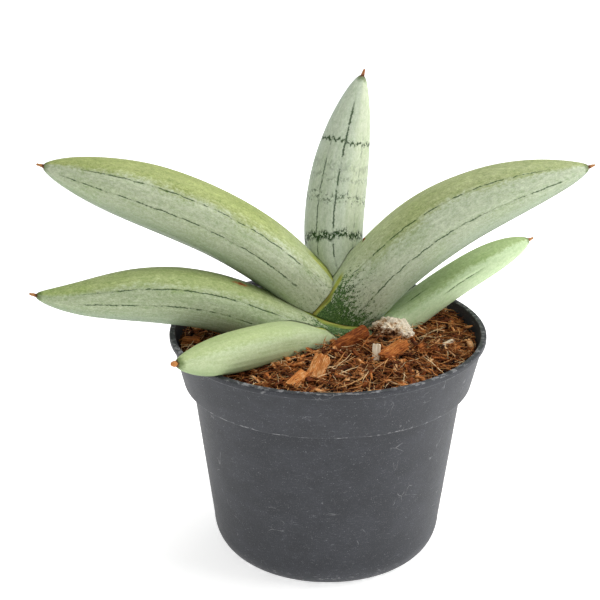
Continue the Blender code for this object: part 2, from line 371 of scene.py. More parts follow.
@dataclass(frozen=True)
class Noise:
    """A noise pattern: its blobs' size in mm along each axis, its octaves and the finer ones' strength."""

    size: tuple[float, float, float]
    detail: float
    rough: float

    def spread(self, tree: bpy.types.NodeTree, place: Socket, unit: float = 1.0) -> bpy.types.NodeSocket:
        """Lays the noise over a coordinate.

        Args:
            tree: the material's tree.
            place: the coordinate.
            unit: how long a millimetre is in it.

        Returns:
            The noise's value, about 0.3 to 0.7.
        """
        scaled = add_node(tree, MAPPING, {0: place, 3: tuple(1.0 / (s * unit) for s in self.size)})
        given = {"Vector": scaled, "Scale": 1.0, "Detail": self.detail, "Roughness": self.rough}
        return add_node(tree, NOISE, given)


# The leaves' noises: size across, across and along the blade.
CLOUDS = Noise((9.0, 9.0, 22.0), 3.0, 0.55)
MOTTLE = Noise((1.0, 1.0, 1.7), 5.0, 0.72)
GRAIN = Noise((0.36, 0.36, 0.6), 3.0, 0.62)
STREAKS = Noise((1.0, 1.0, 16.0), 3.0, 0.6)
WAVER = Noise((5.0, 5.0, 3.2), 2.0, 0.5)
DASHES = Noise((4.0, 4.0, 4.6), 3.0, 0.62)
FRAY = Noise((0.5, 0.5, 0.9), 1.0, 0.5)
BAND_EDGE = Noise((2.4, 2.4, 30.0), 4.0, 0.72)
BAND_BLOTS = Noise((0.9, 0.9, 1.3), 3.0, 0.6)
# The pot's noises: size in X, Y and Z.
MIST = Noise((14.0, 14.0, 9.0), 4.0, 0.6)
FLOW = Noise((2.2, 2.2, 0.7), 5.0, 0.7)
SPECKS = Noise((0.34, 0.34, 0.3), 3.0, 0.65)


@dataclass(frozen=True)
class SkinFields:
    """What a leaf's pattern is drawn with: its material's tree and the fields in it."""

    tree: bpy.types.NodeTree
    place: Socket  # the blade coordinate, moved by the leaf's own seed
    angle: Socket  # signed degrees from the upper side
    away: Socket  # degrees from the upper side
    radius: Socket  # the leaf's radius in mm
    share: Socket  # share of the length
    along: Socket  # mm along the leaf
    clouds: Socket  # the broadest noise
    mottle: Socket  # the mealy noise
    grain: Socket  # the finest noise
    streaks: Socket  # the lengthwise noise


@dataclass(frozen=True)
class LeafSkin:
    """Finish of one snake plant leaf: a waxy, silver-bloomed skin over green.

    The wax gives a soft, broad highlight, the bloom a mealy mottle, and the green shows through in dashed
    veins, cross bands, a blotched base and fine flecks. The underside's cooler colour is also darkened as
    painted shade, and so is the base near the crown.
    """

    palette: Palette
    veins: tuple[Vein, ...]
    bands: tuple[Band, ...] = ()
    top_reach: float = 50.0  # degrees from the upper side that the warm top colour reaches
    top_strength: float = 0.9
    base_reach: float = 24.0  # mm along the leaf that the blotched dark base reaches
    base_strength: float = 0.9
    base_low: float = 12.0  # degrees below the margin where the dark base begins
    margin_turn: float = 36.0  # degrees from the upper side where the base's pale margin runs
    margin_width: float = 9.0  # degrees
    margin_reach: float = 30.0  # mm along the leaf that it reaches
    margin_bend: tuple[float, float] = (0.0, 0.0)  # mm along where the margin turns away, and degrees per mm
    scar: tuple[float, float] | None = None  # angle and mm along of a rusty scar
    mottle: float = 0.75
    seed: float = 0.0

    def build(self, name: str, length: float) -> bpy.types.Material:
        """Makes the skin's material.

        Args:
            name: the leaf's name.
            length: the leaf's length in mm.

        Returns:
            The material.
        """
        made, tree, shader = new_material(f"waxy_leaf_skin_{name}")
        at = self._fields(tree)
        swing = add_node(tree, RANGE, (at.clouds, 0.3, 0.7, -7.0, 7.0))
        fuzz = add_node(tree, RANGE, (at.mottle, 0.3, 0.7, -9.0, 9.0))
        turned = add_node(tree, MATH, (add_node(tree, MATH, (at.away, swing)), fuzz))
        colour = self._weather(at, self._ground(at, turned))
        off = self._from_margin(at)
        colour = self._base(at, colour, off)
        dark = strongest(tree, [*self._veins(at), *(self._band(at, band) for band in self.bands)])
        colour = overlay(tree, colour, linear(self.palette.dark), dark)
        colour = self._margin(at, colour, off)
        colour = self._point(at, colour, length)
        if self.scar:
            colour = self._scar(at, colour)
        tree.links.new(colour, shader.inputs["Base Color"])

        rough = add_node(tree, RANGE, (at.mottle, 0.3, 0.7, 0.40, 0.58))
        tree.links.new(rough, shader.inputs["Roughness"])
        shader.inputs["IOR"].default_value = 1.42
        shader.inputs["Specular IOR Level"].default_value = 0.42
        shader.inputs["Subsurface Weight"].default_value = 0.06
        shader.inputs["Subsurface Radius"].default_value = (0.9, 1.4, 0.5)
        shader.inputs["Subsurface Scale"].default_value = 1.2 * MM
        # Fine ridges run lengthwise, 1 mm apart, under a mealy grain of 0.4 mm.
        height = add_node(tree, MATH, (at.streaks, at.mottle), operation="ADD")
        height = add_node(tree, MATH, (at.grain, 0.5, height), operation="MULTIPLY_ADD")
        bump = add_node(tree, "ShaderNodeBump", {"Strength": 0.55, "Distance": 0.12 * MM, "Height": height})
        tree.links.new(bump, shader.inputs["Normal"])
        return made

    def _fields(self, tree: bpy.types.NodeTree) -> SkinFields:
        """Makes the fields that the pattern is drawn with.

        Args:
            tree: the material's tree.

        Returns:
            The fields.
        """
        place = add_node(tree, ATTRIBUTE, out="Vector", attribute_name="blade")
        shifted = add_node(tree, VECTOR_MATH, (place, (self.seed * 37.0, self.seed * 11.0, 0.0)))
        x = add_node(tree, SPLIT, (place,))
        grow = add_node(tree, SPLIT, (add_node(tree, "ShaderNodeUVMap", uv_map="grow"),))
        angle = add_node(tree, RANGE, (grow, 0.0, 1.0, -180.0, 180.0))
        across = add_node(tree, JOIN, (x, part_of(x, "Y"), 0.0))
        return SkinFields(
            tree=tree,
            place=shifted,
            angle=angle,
            away=add_node(tree, MATH, (angle,), operation="ABSOLUTE"),
            radius=add_node(tree, VECTOR_MATH, (across,), "Value", operation="LENGTH"),
            share=part_of(grow, "Y"),
            along=part_of(x, "Z"),
            clouds=CLOUDS.spread(tree, shifted),
            mottle=MOTTLE.spread(tree, shifted),
            grain=GRAIN.spread(tree, shifted),
            streaks=STREAKS.spread(tree, shifted),
        )

    def _from_margin(self, at: SkinFields) -> bpy.types.NodeSocket:
        """Degrees below the base's pale margin, which leans away from the upper side past its bend.

        Args:
            at: the skin's fields.

        Returns:
            The angle, negative above the margin.
        """
        start, slope = self.margin_bend
        past = add_node(at.tree, MATH, (at.along, start), operation="SUBTRACT")
        past = add_node(at.tree, MATH, (past, 0.0), operation="MAXIMUM")
        line = add_node(at.tree, MATH, (past, slope, self.margin_turn), operation="MULTIPLY_ADD")
        line = add_node(at.tree, MATH, (line, 0.0), operation="MAXIMUM")
        return add_node(at.tree, MATH, (at.away, line), operation="SUBTRACT")

    def _ground(self, at: SkinFields, turned: Socket) -> bpy.types.NodeSocket:
        """The skin's colour from the warm upper side round to the cool underside, which is darker as painted
        shade; the base is less warm.

        Args:
            at: the skin's fields.
            turned: degrees from the upper side, with an uneven edge.

        Returns:
            The colour.
        """
        tree = at.tree
        # Towards the underside the colour turns to low: its cooler tone, darkened as painted shade.
        down = soft_step(tree, turned, 88.0, 165.0)
        colour = overlay(tree, linear(self.palette.side), linear(self.palette.low), down)
        top = soft_step(tree, turned, self.top_reach - 12.0, self.top_reach + 12.0, self.top_strength, 0.0)
        grown = soft_step(tree, at.along, 16.0, 58.0, 0.22, 1.0)
        top = add_node(tree, MATH, (top, grown), operation="MULTIPLY")
        return overlay(tree, colour, linear(self.palette.top), top)

    def _weather(self, at: SkinFields, colour: Socket) -> bpy.types.NodeSocket:
        """Lays the bloom's clouds, mottle, streaks and dark flecks over the colour.

        Args:
            at: the skin's fields.
            colour: the skin's colour so far.

        Returns:
            The colour.
        """
        layers = (
            (at.clouds, 0.8, ((0.3, "a3ad98"), (0.5, "bcbcbc"), (0.72, "d0d3cd"))),
            (at.mottle, 1.0, ((0.32, "7e8e7f"), (0.5, "bcbcbb"), (0.68, "e9eee5"))),
            (at.grain, 0.9, ((0.34, "8d998a"), (0.5, "bcbcbc"), (0.66, "e2e6de"))),
            (at.streaks, 0.7, ((0.3, "9ba794"), (0.5, "bcbcbc"), (0.7, "d5d8d0"))),
        )
        for field, strength, stops in layers:
            layer = add_node(at.tree, RAMP, (field,), stops=stops)
            colour = overlay(at.tree, colour, layer, strength * self.mottle, Blend.SOFT)
        flecks = soft_step(at.tree, at.grain, 0.60, 0.70, 0.0, 0.5 * self.mottle)
        return overlay(at.tree, colour, linear("587348"), flecks)

    def _veins(self, at: SkinFields) -> list[bpy.types.NodeSocket]:
        """The dashed dark lines that run along the leaf.

        Args:
            at: the skin's fields.

        Returns:
            How dark each line is, 0 to 1.
        """
        tree = at.tree
        reach = add_node(tree, MATH, (at.radius, math.pi / 180.0), operation="MULTIPLY")
        # The lines waver by a fifth of a millimetre and break up into dashes 2 to 5 mm long.
        waver = add_node(tree, RANGE, (WAVER.spread(tree, at.place), 0.3, 0.7, -1.0, 1.0))
        bent = add_node(tree, MATH, (at.angle, waver))
        dashes = DASHES.spread(tree, at.place)
        ragged = add_node(tree, RANGE, (FRAY.spread(tree, at.place), 0.3, 0.7, 0.55, 1.5))
        lines = []
        for vein in self.veins:
            off = add_node(tree, MATH, (bent, vein.angle), operation="SUBTRACT")
            off = add_node(tree, MATH, (off,), operation="ABSOLUTE")
            off = multiplied(tree, off, reach, ragged)
            line = soft_step(tree, off, vein.width * 0.28, vein.width, vein.strength, 0.0)
            dash = soft_step(tree, dashes, vein.gaps - 0.05, vein.gaps + 0.05, 0.22, 1.0)
            begin = soft_step(tree, at.share, vein.start - 0.02, vein.start + 0.03)
            finish = soft_step(tree, at.share, vein.end - 0.06, vein.end + 0.02, 1.0, 0.0)
            lines.append(multiplied(tree, line, dash, begin, finish))
        return lines

    def _band(self, at: SkinFields, band: Band) -> bpy.types.NodeSocket:
        """One ragged band across the leaf.

        Args:
            at: the skin's fields.
            band: where it is and how it looks.

        Returns:
            How dark the band is, 0 to 1.
        """
        tree = at.tree
        wander = add_node(tree, RANGE, (BAND_EDGE.spread(tree, at.place), 0.3, 0.7, -1.8, 1.8))
        moved = add_node(tree, MATH, (at.along, wander))
        moved = add_node(tree, MATH, (at.angle, band.slant, moved), operation="MULTIPLY_ADD")
        off = add_node(tree, MATH, (moved, band.along), operation="SUBTRACT")
        off = add_node(tree, MATH, (off,), operation="ABSOLUTE")
        strip = soft_step(tree, off, band.width * 0.3, band.width, band.strength, 0.0)
        blots = soft_step(tree, BAND_BLOTS.spread(tree, at.place), band.broken - 0.05, band.broken + 0.05)
        return multiplied(tree, strip, blots)

    def _base(self, at: SkinFields, colour: Socket, off: Socket) -> bpy.types.NodeSocket:
        """Darkens the clasping base near the crown in blotches with pale flecks left in them: the base's own
        dark green where the bloom is rubbed off, and painted shade where the leaves close in at the crown.

        Args:
            at: the skin's fields.
            colour: the skin's colour so far.
            off: degrees below the margin.

        Returns:
            The colour.
        """
        tree = at.tree
        ragged = add_node(tree, RANGE, (at.mottle, 0.3, 0.7, -6.0, 6.0))
        drift = add_node(tree, RANGE, (at.clouds, 0.3, 0.7, -5.0, 5.0))
        moved = add_node(tree, MATH, (add_node(tree, MATH, (at.along, ragged)), drift))
        near = soft_step(tree, moved, self.base_reach * 0.25, self.base_reach, 1.0, 0.0)
        below = soft_step(tree, off, 0.0, self.base_low)
        # Below the margin it keeps 0.45 of its strength round to the underside: painted shade near the crown.
        fading = soft_step(tree, off, self.base_low + 20.0, self.base_low + 95.0, 1.0, 0.45)
        amount = multiplied(tree, near, multiplied(tree, below, fading))
        # Where the patch thins out, it breaks up into blots and flecks along the bloom's grain.
        meal = add_node(tree, MATH, (at.mottle, at.grain))
        level = add_node(tree, RANGE, (amount, 0.0, 1.0, 0.72, 1.22))
        blots = add_node(tree, MATH, (level, meal), operation="SUBTRACT")
        blots = soft_step(tree, blots, -0.06, 0.06, 0.0, self.base_strength)
        blots = multiplied(tree, blots, soft_step(tree, amount, 0.02, 0.2))
        stops = ((0.36, self.palette.dark), (0.5, "365f1f"), (0.64, "6a9248"))
        return overlay(tree, colour, add_node(tree, RAMP, (at.grain,), stops=stops), blots)

    def _margin(self, at: SkinFields, colour: Socket, off: Socket) -> bpy.types.NodeSocket:
        """Runs the pale, yellowish margin with its brown edge along the corner of the clasping base.

        Args:
            at: the skin's fields.
            colour: the skin's colour so far.
            off: degrees below the margin.

        Returns:
            The colour.
        """
        tree, wide = at.tree, self.margin_width
        off = add_node(tree, MATH, (off,), operation="ABSOLUTE")
        near = soft_step(tree, at.along, self.margin_reach * 0.85, self.margin_reach, 0.95, 0.0)
        amount = multiplied(tree, soft_step(tree, off, wide * 0.55, wide, 1.0, 0.0), near)
        stops = ((0.38, "6f8229"), (0.5, self.palette.margin), (0.64, "b3b551"))
        colour = overlay(tree, colour, add_node(tree, RAMP, (at.streaks,), stops=stops), amount)
        ridge = multiplied(tree, soft_step(tree, off, wide * 0.1, wide * 0.4, 0.55, 0.0), near)
        patchy = soft_step(tree, at.clouds, 0.42, 0.54)
        return overlay(tree, colour, linear("947a33"), multiplied(tree, ridge, patchy))

    def _point(self, at: SkinFields, colour: Socket, length: float) -> bpy.types.NodeSocket:
        """Turns the leaf's end green, then orange-brown and scorched where it has dried.

        Args:
            at: the skin's fields.
            colour: the skin's colour so far.
            length: the leaf's length in mm.

        Returns:
            The colour.
        """
        left = add_node(at.tree, MATH, (length, at.along), operation="SUBTRACT")
        uneven = add_node(at.tree, RANGE, (at.mottle, 0.3, 0.7, -0.5, 0.5))
        left = add_node(at.tree, MATH, (left, uneven))
        palette = self.palette
        steps = (
            (palette.neck, 3.0, 5.2, 0.8),
            (palette.scorch, 2.5, 3.1, 1.0),
            (palette.point, 1.7, 2.4, 1.0),
        )
        for shade, full, none, strength in steps:
            amount = soft_step(at.tree, left, full, none, strength, 0.0)
            colour = overlay(at.tree, colour, linear(shade), amount)
        return colour

    def _scar(self, at: SkinFields, colour: Socket) -> bpy.types.NodeSocket:
        """Paints a small rusty scar.

        Args:
            at: the skin's fields.
            colour: the skin's colour so far.

        Returns:
            The colour.
        """
        tree = at.tree
        turn, middle = self.scar
        sideways = add_node(tree, MATH, (at.angle, turn), operation="SUBTRACT")
        sideways = multiplied(tree, sideways, at.radius, math.pi / 180.0 * 1.6)
        forward = add_node(tree, MATH, (at.along, middle), operation="SUBTRACT")
        forward = multiplied(tree, forward, 0.75)
        spot = add_node(tree, JOIN, (sideways, forward, 0.0))
        off = add_node(tree, VECTOR_MATH, (spot,), "Value", operation="LENGTH")
        ragged = add_node(tree, RANGE, (at.mottle, 0.3, 0.7, -1.2, 1.2))
        off = add_node(tree, MATH, (off, ragged))
        colour = overlay(tree, colour, linear("c0713c"), soft_step(tree, off, 1.3, 2.1, 0.9, 0.0))
        return overlay(tree, colour, linear("7c3517"), soft_step(tree, off, 0.4, 1.0, 0.8, 0.0))


@dataclass(frozen=True)
class Leaf:
    """One leaf's growth, in the CAD's own terms, and its skin."""

    name: str
    root: tuple[float, float, float]
    heading: float
    sweep: float
    rise: tuple[float, float, float, float]
    length: float
    girth: float
    sheath: float
    clasp: float
    fullest: float
    bluntness: float
    slot: str
    skin: LeafSkin
    tip_blob: float = 0.0
    sides: int = 112
    spans: int = 150
    point_length: float = 2.6
    point_neck: float = 0.9
    point_end: float = 0.35
    breadth: float = 1.04
    clasp_reach: float = 0.30
    squareness: float = 4.0
    groove_depth: float = 0.16
    groove_spread: float = 0.55
    groove_reach: float = 0.7
    bead: float = 0.55  # how far a ridge along margin_turn stands proud; it doesn't follow margin_bend
    bead_spread: float = 5.5  # degrees
    bead_reach: float = 0.26  # share of the length

    def rise_at(self, share: float) -> float:
        """The rise in degrees: a cubic through the four values, in Lagrange's form.

        Args:
            share: share of the length.

        Returns:
            Degrees above level.
        """
        total = 0.0
        last = len(self.rise) - 1
        for i, value in enumerate(self.rise):
            weight = 1.0
            for j in range(last + 1):
                if j != i:
                    weight *= (share * last - j) / (i - j)
            total += value * weight
        return total

    def spine(self, steps: int = 180) -> list[Vector]:
        """Points along the leaf's middle at even steps.

        Args:
            steps: how many steps.

        Returns:
            Points in mm, one more than steps.
        """
        here = Vector(self.root)
        points = [here.copy()]
        for index in range(steps):
            share = (index + 0.5) / steps
            rise = math.radians(self.rise_at(share))
            turn = math.radians(self.heading + self.sweep * share)
            way = Vector((math.cos(rise) * math.cos(turn), math.cos(rise) * math.sin(turn), math.sin(rise)))
            here = here + way * (self.length / steps)
            points.append(here.copy())
        return points

    def half_thickness(self, share: float) -> float:
        """Half the leaf's thickness in mm at a share of its length."""
        blade_end = 1.0 - self.point_length / self.length
        if share < self.fullest:
            return self.sheath + (self.girth - self.sheath) * math.sin(math.pi / 2 * share / self.fullest)
        if share < blade_end:
            gone = (share - self.fullest) / (blade_end - self.fullest)
            return self.point_neck + (self.girth - self.point_neck) * (1.0 - gone**self.bluntness) ** 0.75
        gone = (share - blade_end) / (1.0 - blade_end)
        blob = 0.35 * self.tip_blob * math.sin(math.pi * gone)
        return self.point_neck * 0.8 + (self.point_end - self.point_neck * 0.8) * gone + blob

    def stations(self, spans: int) -> list[float]:
        """Shares of the length that have a section, closer together towards the tip.

        Args:
            spans: how many spans the blade has.

        Returns:
            The shares, ending with the dry point's.
        """
        blade_end = 1.0 - self.point_length / self.length
        shares = [blade_end * (1.0 - (1.0 - i / spans) ** 1.5) for i in range(spans + 1)]
        return shares + [blade_end + (1.0 - blade_end) * i / 8 for i in range(1, 9)]

    def section(self, share: float, swell: float, sides: int, detail: bool) -> list[tuple[float, float]]:
        """One cross-section: square and wide at the clasping base, round with a groove on top above it.

        Args:
            share: share of the length.
            swell: how far to move the surface out, in mm.
            sides: how many corners.
            detail: whether to add the margin's bead, the veins' furrows and the unevenness.

        Returns:
            (sideways, upward) offsets in mm.
        """
        thick = self.half_thickness(share) + swell
        left = max(0.0, 1.0 - share / self.clasp_reach)
        clasping = left * left * (3.0 - 2.0 * left)
        broad = thick * self.breadth + (self.clasp + swell - thick * self.breadth) * clasping
        power = 2.0 / (2.0 + (self.squareness - 2.0) * clasping)
        groove = self.groove_depth * thick * max(0.0, 1.0 - share / self.groove_reach)
        points = []
        for index in range(sides):
            angle = 2 * math.pi * index / sides
            from_top = abs(angle - math.pi) / self.groove_spread
            up = -thick * math.copysign(abs(math.cos(angle)) ** power, math.cos(angle))
            up -= groove * math.exp(-(from_top**2))
            side = broad * math.copysign(abs(math.sin(angle)) ** power, math.sin(angle))
            if detail:
                away = math.hypot(side, up) or 1.0
                lift = self.relief(angle, share, away)
                side, up = side * (1.0 + lift / away), up * (1.0 + lift / away)
            points.append((side, up))
        return points

    def relief(self, angle: float, share: float, radius: float) -> float:
        """Small unevenness of the skin.

        Args:
            angle: radians from the underside.
            share: share of the length.
            radius: the section's radius there in mm.

        Returns:
            Height in mm.
        """
        along = share * self.length
        degrees = math.degrees(angle) - 180.0
        spot = Vector((math.cos(angle) * 1.3, math.sin(angle) * 1.3, along / 26.0 + self.skin.seed * 9.0))
        lift = 0.32 * noise.noise(spot) * min(1.0, radius / 6.0)
        spot = Vector((math.cos(angle) * 5.0, math.sin(angle) * 5.0, along / 30.0 + self.skin.seed * 5.0))
        lift += 0.16 * noise.noise(spot) * min(1.0, radius / 6.0)
        for vein in self.skin.veins:
            off = math.radians(degrees - vein.angle) * radius
            inside = min(1.0, max(0.0, (share - vein.start) / 0.05), max(0.0, (vein.end - share) / 0.08))
            lift -= 0.13 * math.exp(-((off / 0.85) ** 2)) * max(0.0, inside)
        near = max(0.0, 1.0 - share / self.bead_reach)
        edge = (abs(degrees) - self.skin.margin_turn) / self.bead_spread
        lift += self.bead * math.exp(-(edge**2)) * min(1.0, near * 3.0)
        if share > 1.0 - self.point_length / self.length:
            lift += 0.18 * noise.noise(Vector((math.cos(angle) * 2.0, math.sin(angle) * 2.0, along * 1.3)))
        return lift

    def loft(self, name: str, swell: float, sides: int, spans: int, detail: bool) -> bpy.types.Object:
        """Lofts the leaf from its clasping base to its dry point.

        Args:
            name: the object's name.
            swell: how far to move the surface out, in mm.
            sides: corners of a section.
            spans: spans of the blade.
            detail: whether the skin's unevenness is modelled.

        Returns:
            The closed leaf, with the UV map grow and the corner attribute blade in mm.
        """
        points = self.spine()
        last = len(points) - 1
        shape = bmesh.new()
        uv = shape.loops.layers.uv.new("grow")
        blade = shape.loops.layers.float_vector.new("blade")
        rings: list[list[bmesh.types.BMVert]] = []
        spots: list[list[Vector]] = []
        shares = self.stations(spans)
        upward = Vector((0.0, 0.0, 1.0))
        for share in shares:
            place = share * last
            index = min(int(place), last - 1)
            middle = points[index].lerp(points[index + 1], place - index)
            tangent = (points[min(index + 2, last)] - points[max(index - 1, 0)]).normalized()
            upward = (upward - tangent * upward.dot(tangent)).normalized()
            sideways = tangent.cross(upward)
            middle = middle + tangent * (swell * (2.0 * share - 1.0))
            offsets = self.section(share, swell, sides, detail)
            rings.append([shape.verts.new((middle + sideways * s + upward * u) * MM) for s, u in offsets])
            spots.append([Vector((s, u, share * self.length)) for s, u in offsets])
        for row in range(len(rings) - 1):
            for i in range(sides):
                j = (i + 1) % sides
                face = shape.faces.new((rings[row][i], rings[row][j], rings[row + 1][j], rings[row + 1][i]))
                corners = ((i, row), (i + 1, row), (i + 1, row + 1), (i, row + 1))
                for loop, (turn, up) in zip(face.loops, corners):
                    loop[uv].uv = (turn / sides, shares[up])
                    loop[blade] = spots[up][turn % sides]
        for ring, row in ((rings[0], 0), (rings[-1], -1)):
            middle = sum((p.co for p in ring), Vector()) / sides
            push = (rings[-1][0].co - rings[-2][0].co).length if row else 0.0
            hub = shape.verts.new(middle + tangent * push * 0.7)
            for i in range(sides):
                j = (i + 1) % sides
                face = shape.faces.new((ring[i], ring[j], hub))
                for loop, turn in zip(face.loops, (i, i + 1, i + 0.5)):
                    loop[uv].uv = (turn / sides, shares[row])
                    loop[blade] = spots[row][i]
        bmesh.ops.recalc_face_normals(shape, faces=shape.faces)
        return place_object(name, plain_mesh(name, shape))


@dataclass(frozen=True)
class LeafFan:
    """The six leaves, outermost first. Each is cut clear of those before it, with a thin dark gap."""

    leaves: tuple[Leaf, ...]
    seam: float = 0.36  # gap in mm where one leaf clasps another
    room_sides: int = 48
    room_spans: int = 40

    def clasped(self, leaf: Leaf, rooms: Sequence[bpy.types.Object]) -> bpy.types.Object:
        """Lofts a leaf and cuts it clear of the leaves outside it.

        Args:
            leaf: the leaf.
            rooms: the swollen shapes of the leaves outside it.

        Returns:
            The cut leaf. The slower solver for tangled shapes is used if the quick one loses the leaf.
        """
        for tangled in (False, True):
            piece = leaf.loft(f"{leaf.name}_blade", 0.0, leaf.sides, leaf.spans, True)
            whole = len(piece.data.polygons)
            for room in rooms:
                subtract(piece, room, tangled)
            settle(piece)
            if tangled or len(piece.data.polygons) > whole / 2:
                break
            bpy.data.objects.remove(piece, do_unlink=True)
        return piece

    def build(self) -> list[bpy.types.Object]:
        """Lofts, cuts and dresses every leaf.

        Returns:
            The finished leaves.
        """
        made: list[bpy.types.Object] = []
        rooms: list[bpy.types.Object] = []
        for leaf in self.leaves:
            piece = self.clasped(leaf, rooms)
            keep_main_body(piece.data)
            piece.data.materials.clear()
            piece.data.materials.append(leaf.skin.build(leaf.name, leaf.length))
            for face in piece.data.polygons:
                face.material_index = 0
            piece.data.shade_smooth()
            piece.data.set_sharp_from_angle(angle=math.radians(38.0))
            rooms.append(leaf.loft(f"{leaf.name}_room", self.seam, self.room_sides, self.room_spans, True))
            declare(piece, leaf.slot, leaf.name)
            made.append(piece)
        for room in rooms:
            bpy.data.objects.remove(room, do_unlink=True)
        return made


# Pot


@dataclass(frozen=True)
class RecycledPlastic:
    """Injection-moulded recycled polypropylene: matt, dark, cool grey with a fine pale speck.

    Handling has rubbed it pale in scuffs, in short scratches and along the edges of the collar and the foot.
    """

    body: str = "303237"
    cloud: str = "3a3c42"
    speck: str = "74757a"
    wear: str = "b9b9ba"

    def build(self, pot: "NurseryPot") -> bpy.types.Material:
        """Makes the plastic's material.

        Args:
            pot: the pot whose edges are worn.

        Returns:
            The material.
        """
        made, tree, shader = new_material("recycled_polypropylene")
        place = add_node(tree, "ShaderNodeTexCoord", out="Object")
        parts = add_node(tree, SPLIT, (place,))
        height = part_of(parts, "Z")
        mist = MIST.spread(tree, place, MM)
        flow = FLOW.spread(tree, place, MM)
        grain = SPECKS.spread(tree, place, MM)
        colour = overlay(tree, linear(self.body), linear(self.cloud), soft_step(tree, mist, 0.38, 0.64))
        colour = overlay(tree, colour, linear("2b2d31"), soft_step(tree, flow, 0.42, 0.62, 0.5, 0.0))
        dots = soft_step(tree, grain, 0.52, 0.72, 0.0, 0.30)
        colour = overlay(tree, colour, linear(self.speck), dots)
        wear = self._wear(tree, place, height, flow, grain, pot)
        colour = overlay(tree, colour, linear(self.wear), wear)
        tree.links.new(colour, shader.inputs["Base Color"])
        rough = add_node(tree, RANGE, (flow, 0.3, 0.7, 0.46, 0.62))
        rough = add_node(tree, MATH, (wear, 0.2, rough), operation="MULTIPLY_ADD")
        tree.links.new(rough, shader.inputs["Roughness"])
        shader.inputs["IOR"].default_value = 1.49
        shader.inputs["Specular IOR Level"].default_value = 0.35
        relief = add_node(tree, MATH, (grain, 0.6, flow), operation="MULTIPLY_ADD")
        bump = add_node(tree, "ShaderNodeBump", {"Strength": 0.5, "Distance": 0.09 * MM, "Height": relief})
        tree.links.new(bump, shader.inputs["Normal"])
        return made

    def _wear(
        self,
        tree: bpy.types.NodeTree,
        place: Socket,
        height: Socket,
        flow: Socket,
        grain: Socket,
        pot: "NurseryPot",
    ) -> Socket:
        """Where the plastic is rubbed pale.

        Args:
            tree: the material's tree.
            place: object coordinates in metres.
            height: the Z coordinate.
            flow: the flattened noise.
            grain: the finest noise.
            pot: the pot whose edges are worn.

        Returns:
            How pale it is, 0 to 1.
        """
        # Each edge's height and spread in mm, the noise level that breaks its wear up, and the strength.
        edges = (
            (0.6, 1.5, 0.49, 0.85),
            (pot.foot_height * 0.3, 4.0, 0.57, 0.5),
            (pot.height - pot.collar_height + 0.4, 0.5, 0.51, 0.5),
            (pot.height - pot.lip_height, 0.4, 0.54, 0.3),
            (pot.height, 0.45, 0.50, 0.42),
        )
        worn: list[Socket] = []
        for level, spread, broken, strength in edges:
            off = add_node(tree, MATH, (height, level * MM), operation="SUBTRACT")
            off = add_node(tree, MATH, (off,), operation="ABSOLUTE")
            line = soft_step(tree, off, spread * 0.25 * MM, spread * MM, strength, 0.0)
            worn.append(multiplied(tree, line, soft_step(tree, flow, broken, broken + 0.10)))
        # Scratches follow the edges of stretched cells 9 mm across, and show only in patches.
        warping = {"Vector": place, "Scale": 160.0, "Detail": 3.0, "Roughness": 0.6, "Distortion": 0.4}
        warp = add_node(tree, NOISE, warping, "Color")
        bent = add_node(tree, VECTOR_MATH, (warp, (0.004, 0.004, 0.004), place), operation="MULTIPLY_ADD")
        for size, seed, rarity in (((9.0, 9.0, 5.0), 3.0, 0.63), ((6.0, 6.0, 12.0), 8.0, 0.645)):
            stretch = tuple(1.0 / (s * MM) for s in size)
            scaled = add_node(tree, MAPPING, {0: bent, 1: (seed,) * 3, 3: stretch})
            cells = {"Vector": scaled, "Scale": 1.0}
            crack = add_node(tree, CELLS, cells, "Distance", feature="DISTANCE_TO_EDGE")
            line = soft_step(tree, crack, 0.005, 0.018, 0.34, 0.0)
            where = Noise((size[1] * 1.5, size[0], 11.0), 3.0, 0.6).spread(tree, place, MM)
            worn.append(multiplied(tree, line, soft_step(tree, where, rarity - 0.03, rarity + 0.05)))
        worn.append(soft_step(tree, multiplied(tree, grain, flow), 0.33, 0.42, 0.0, 0.28))
        return strongest(tree, worn)


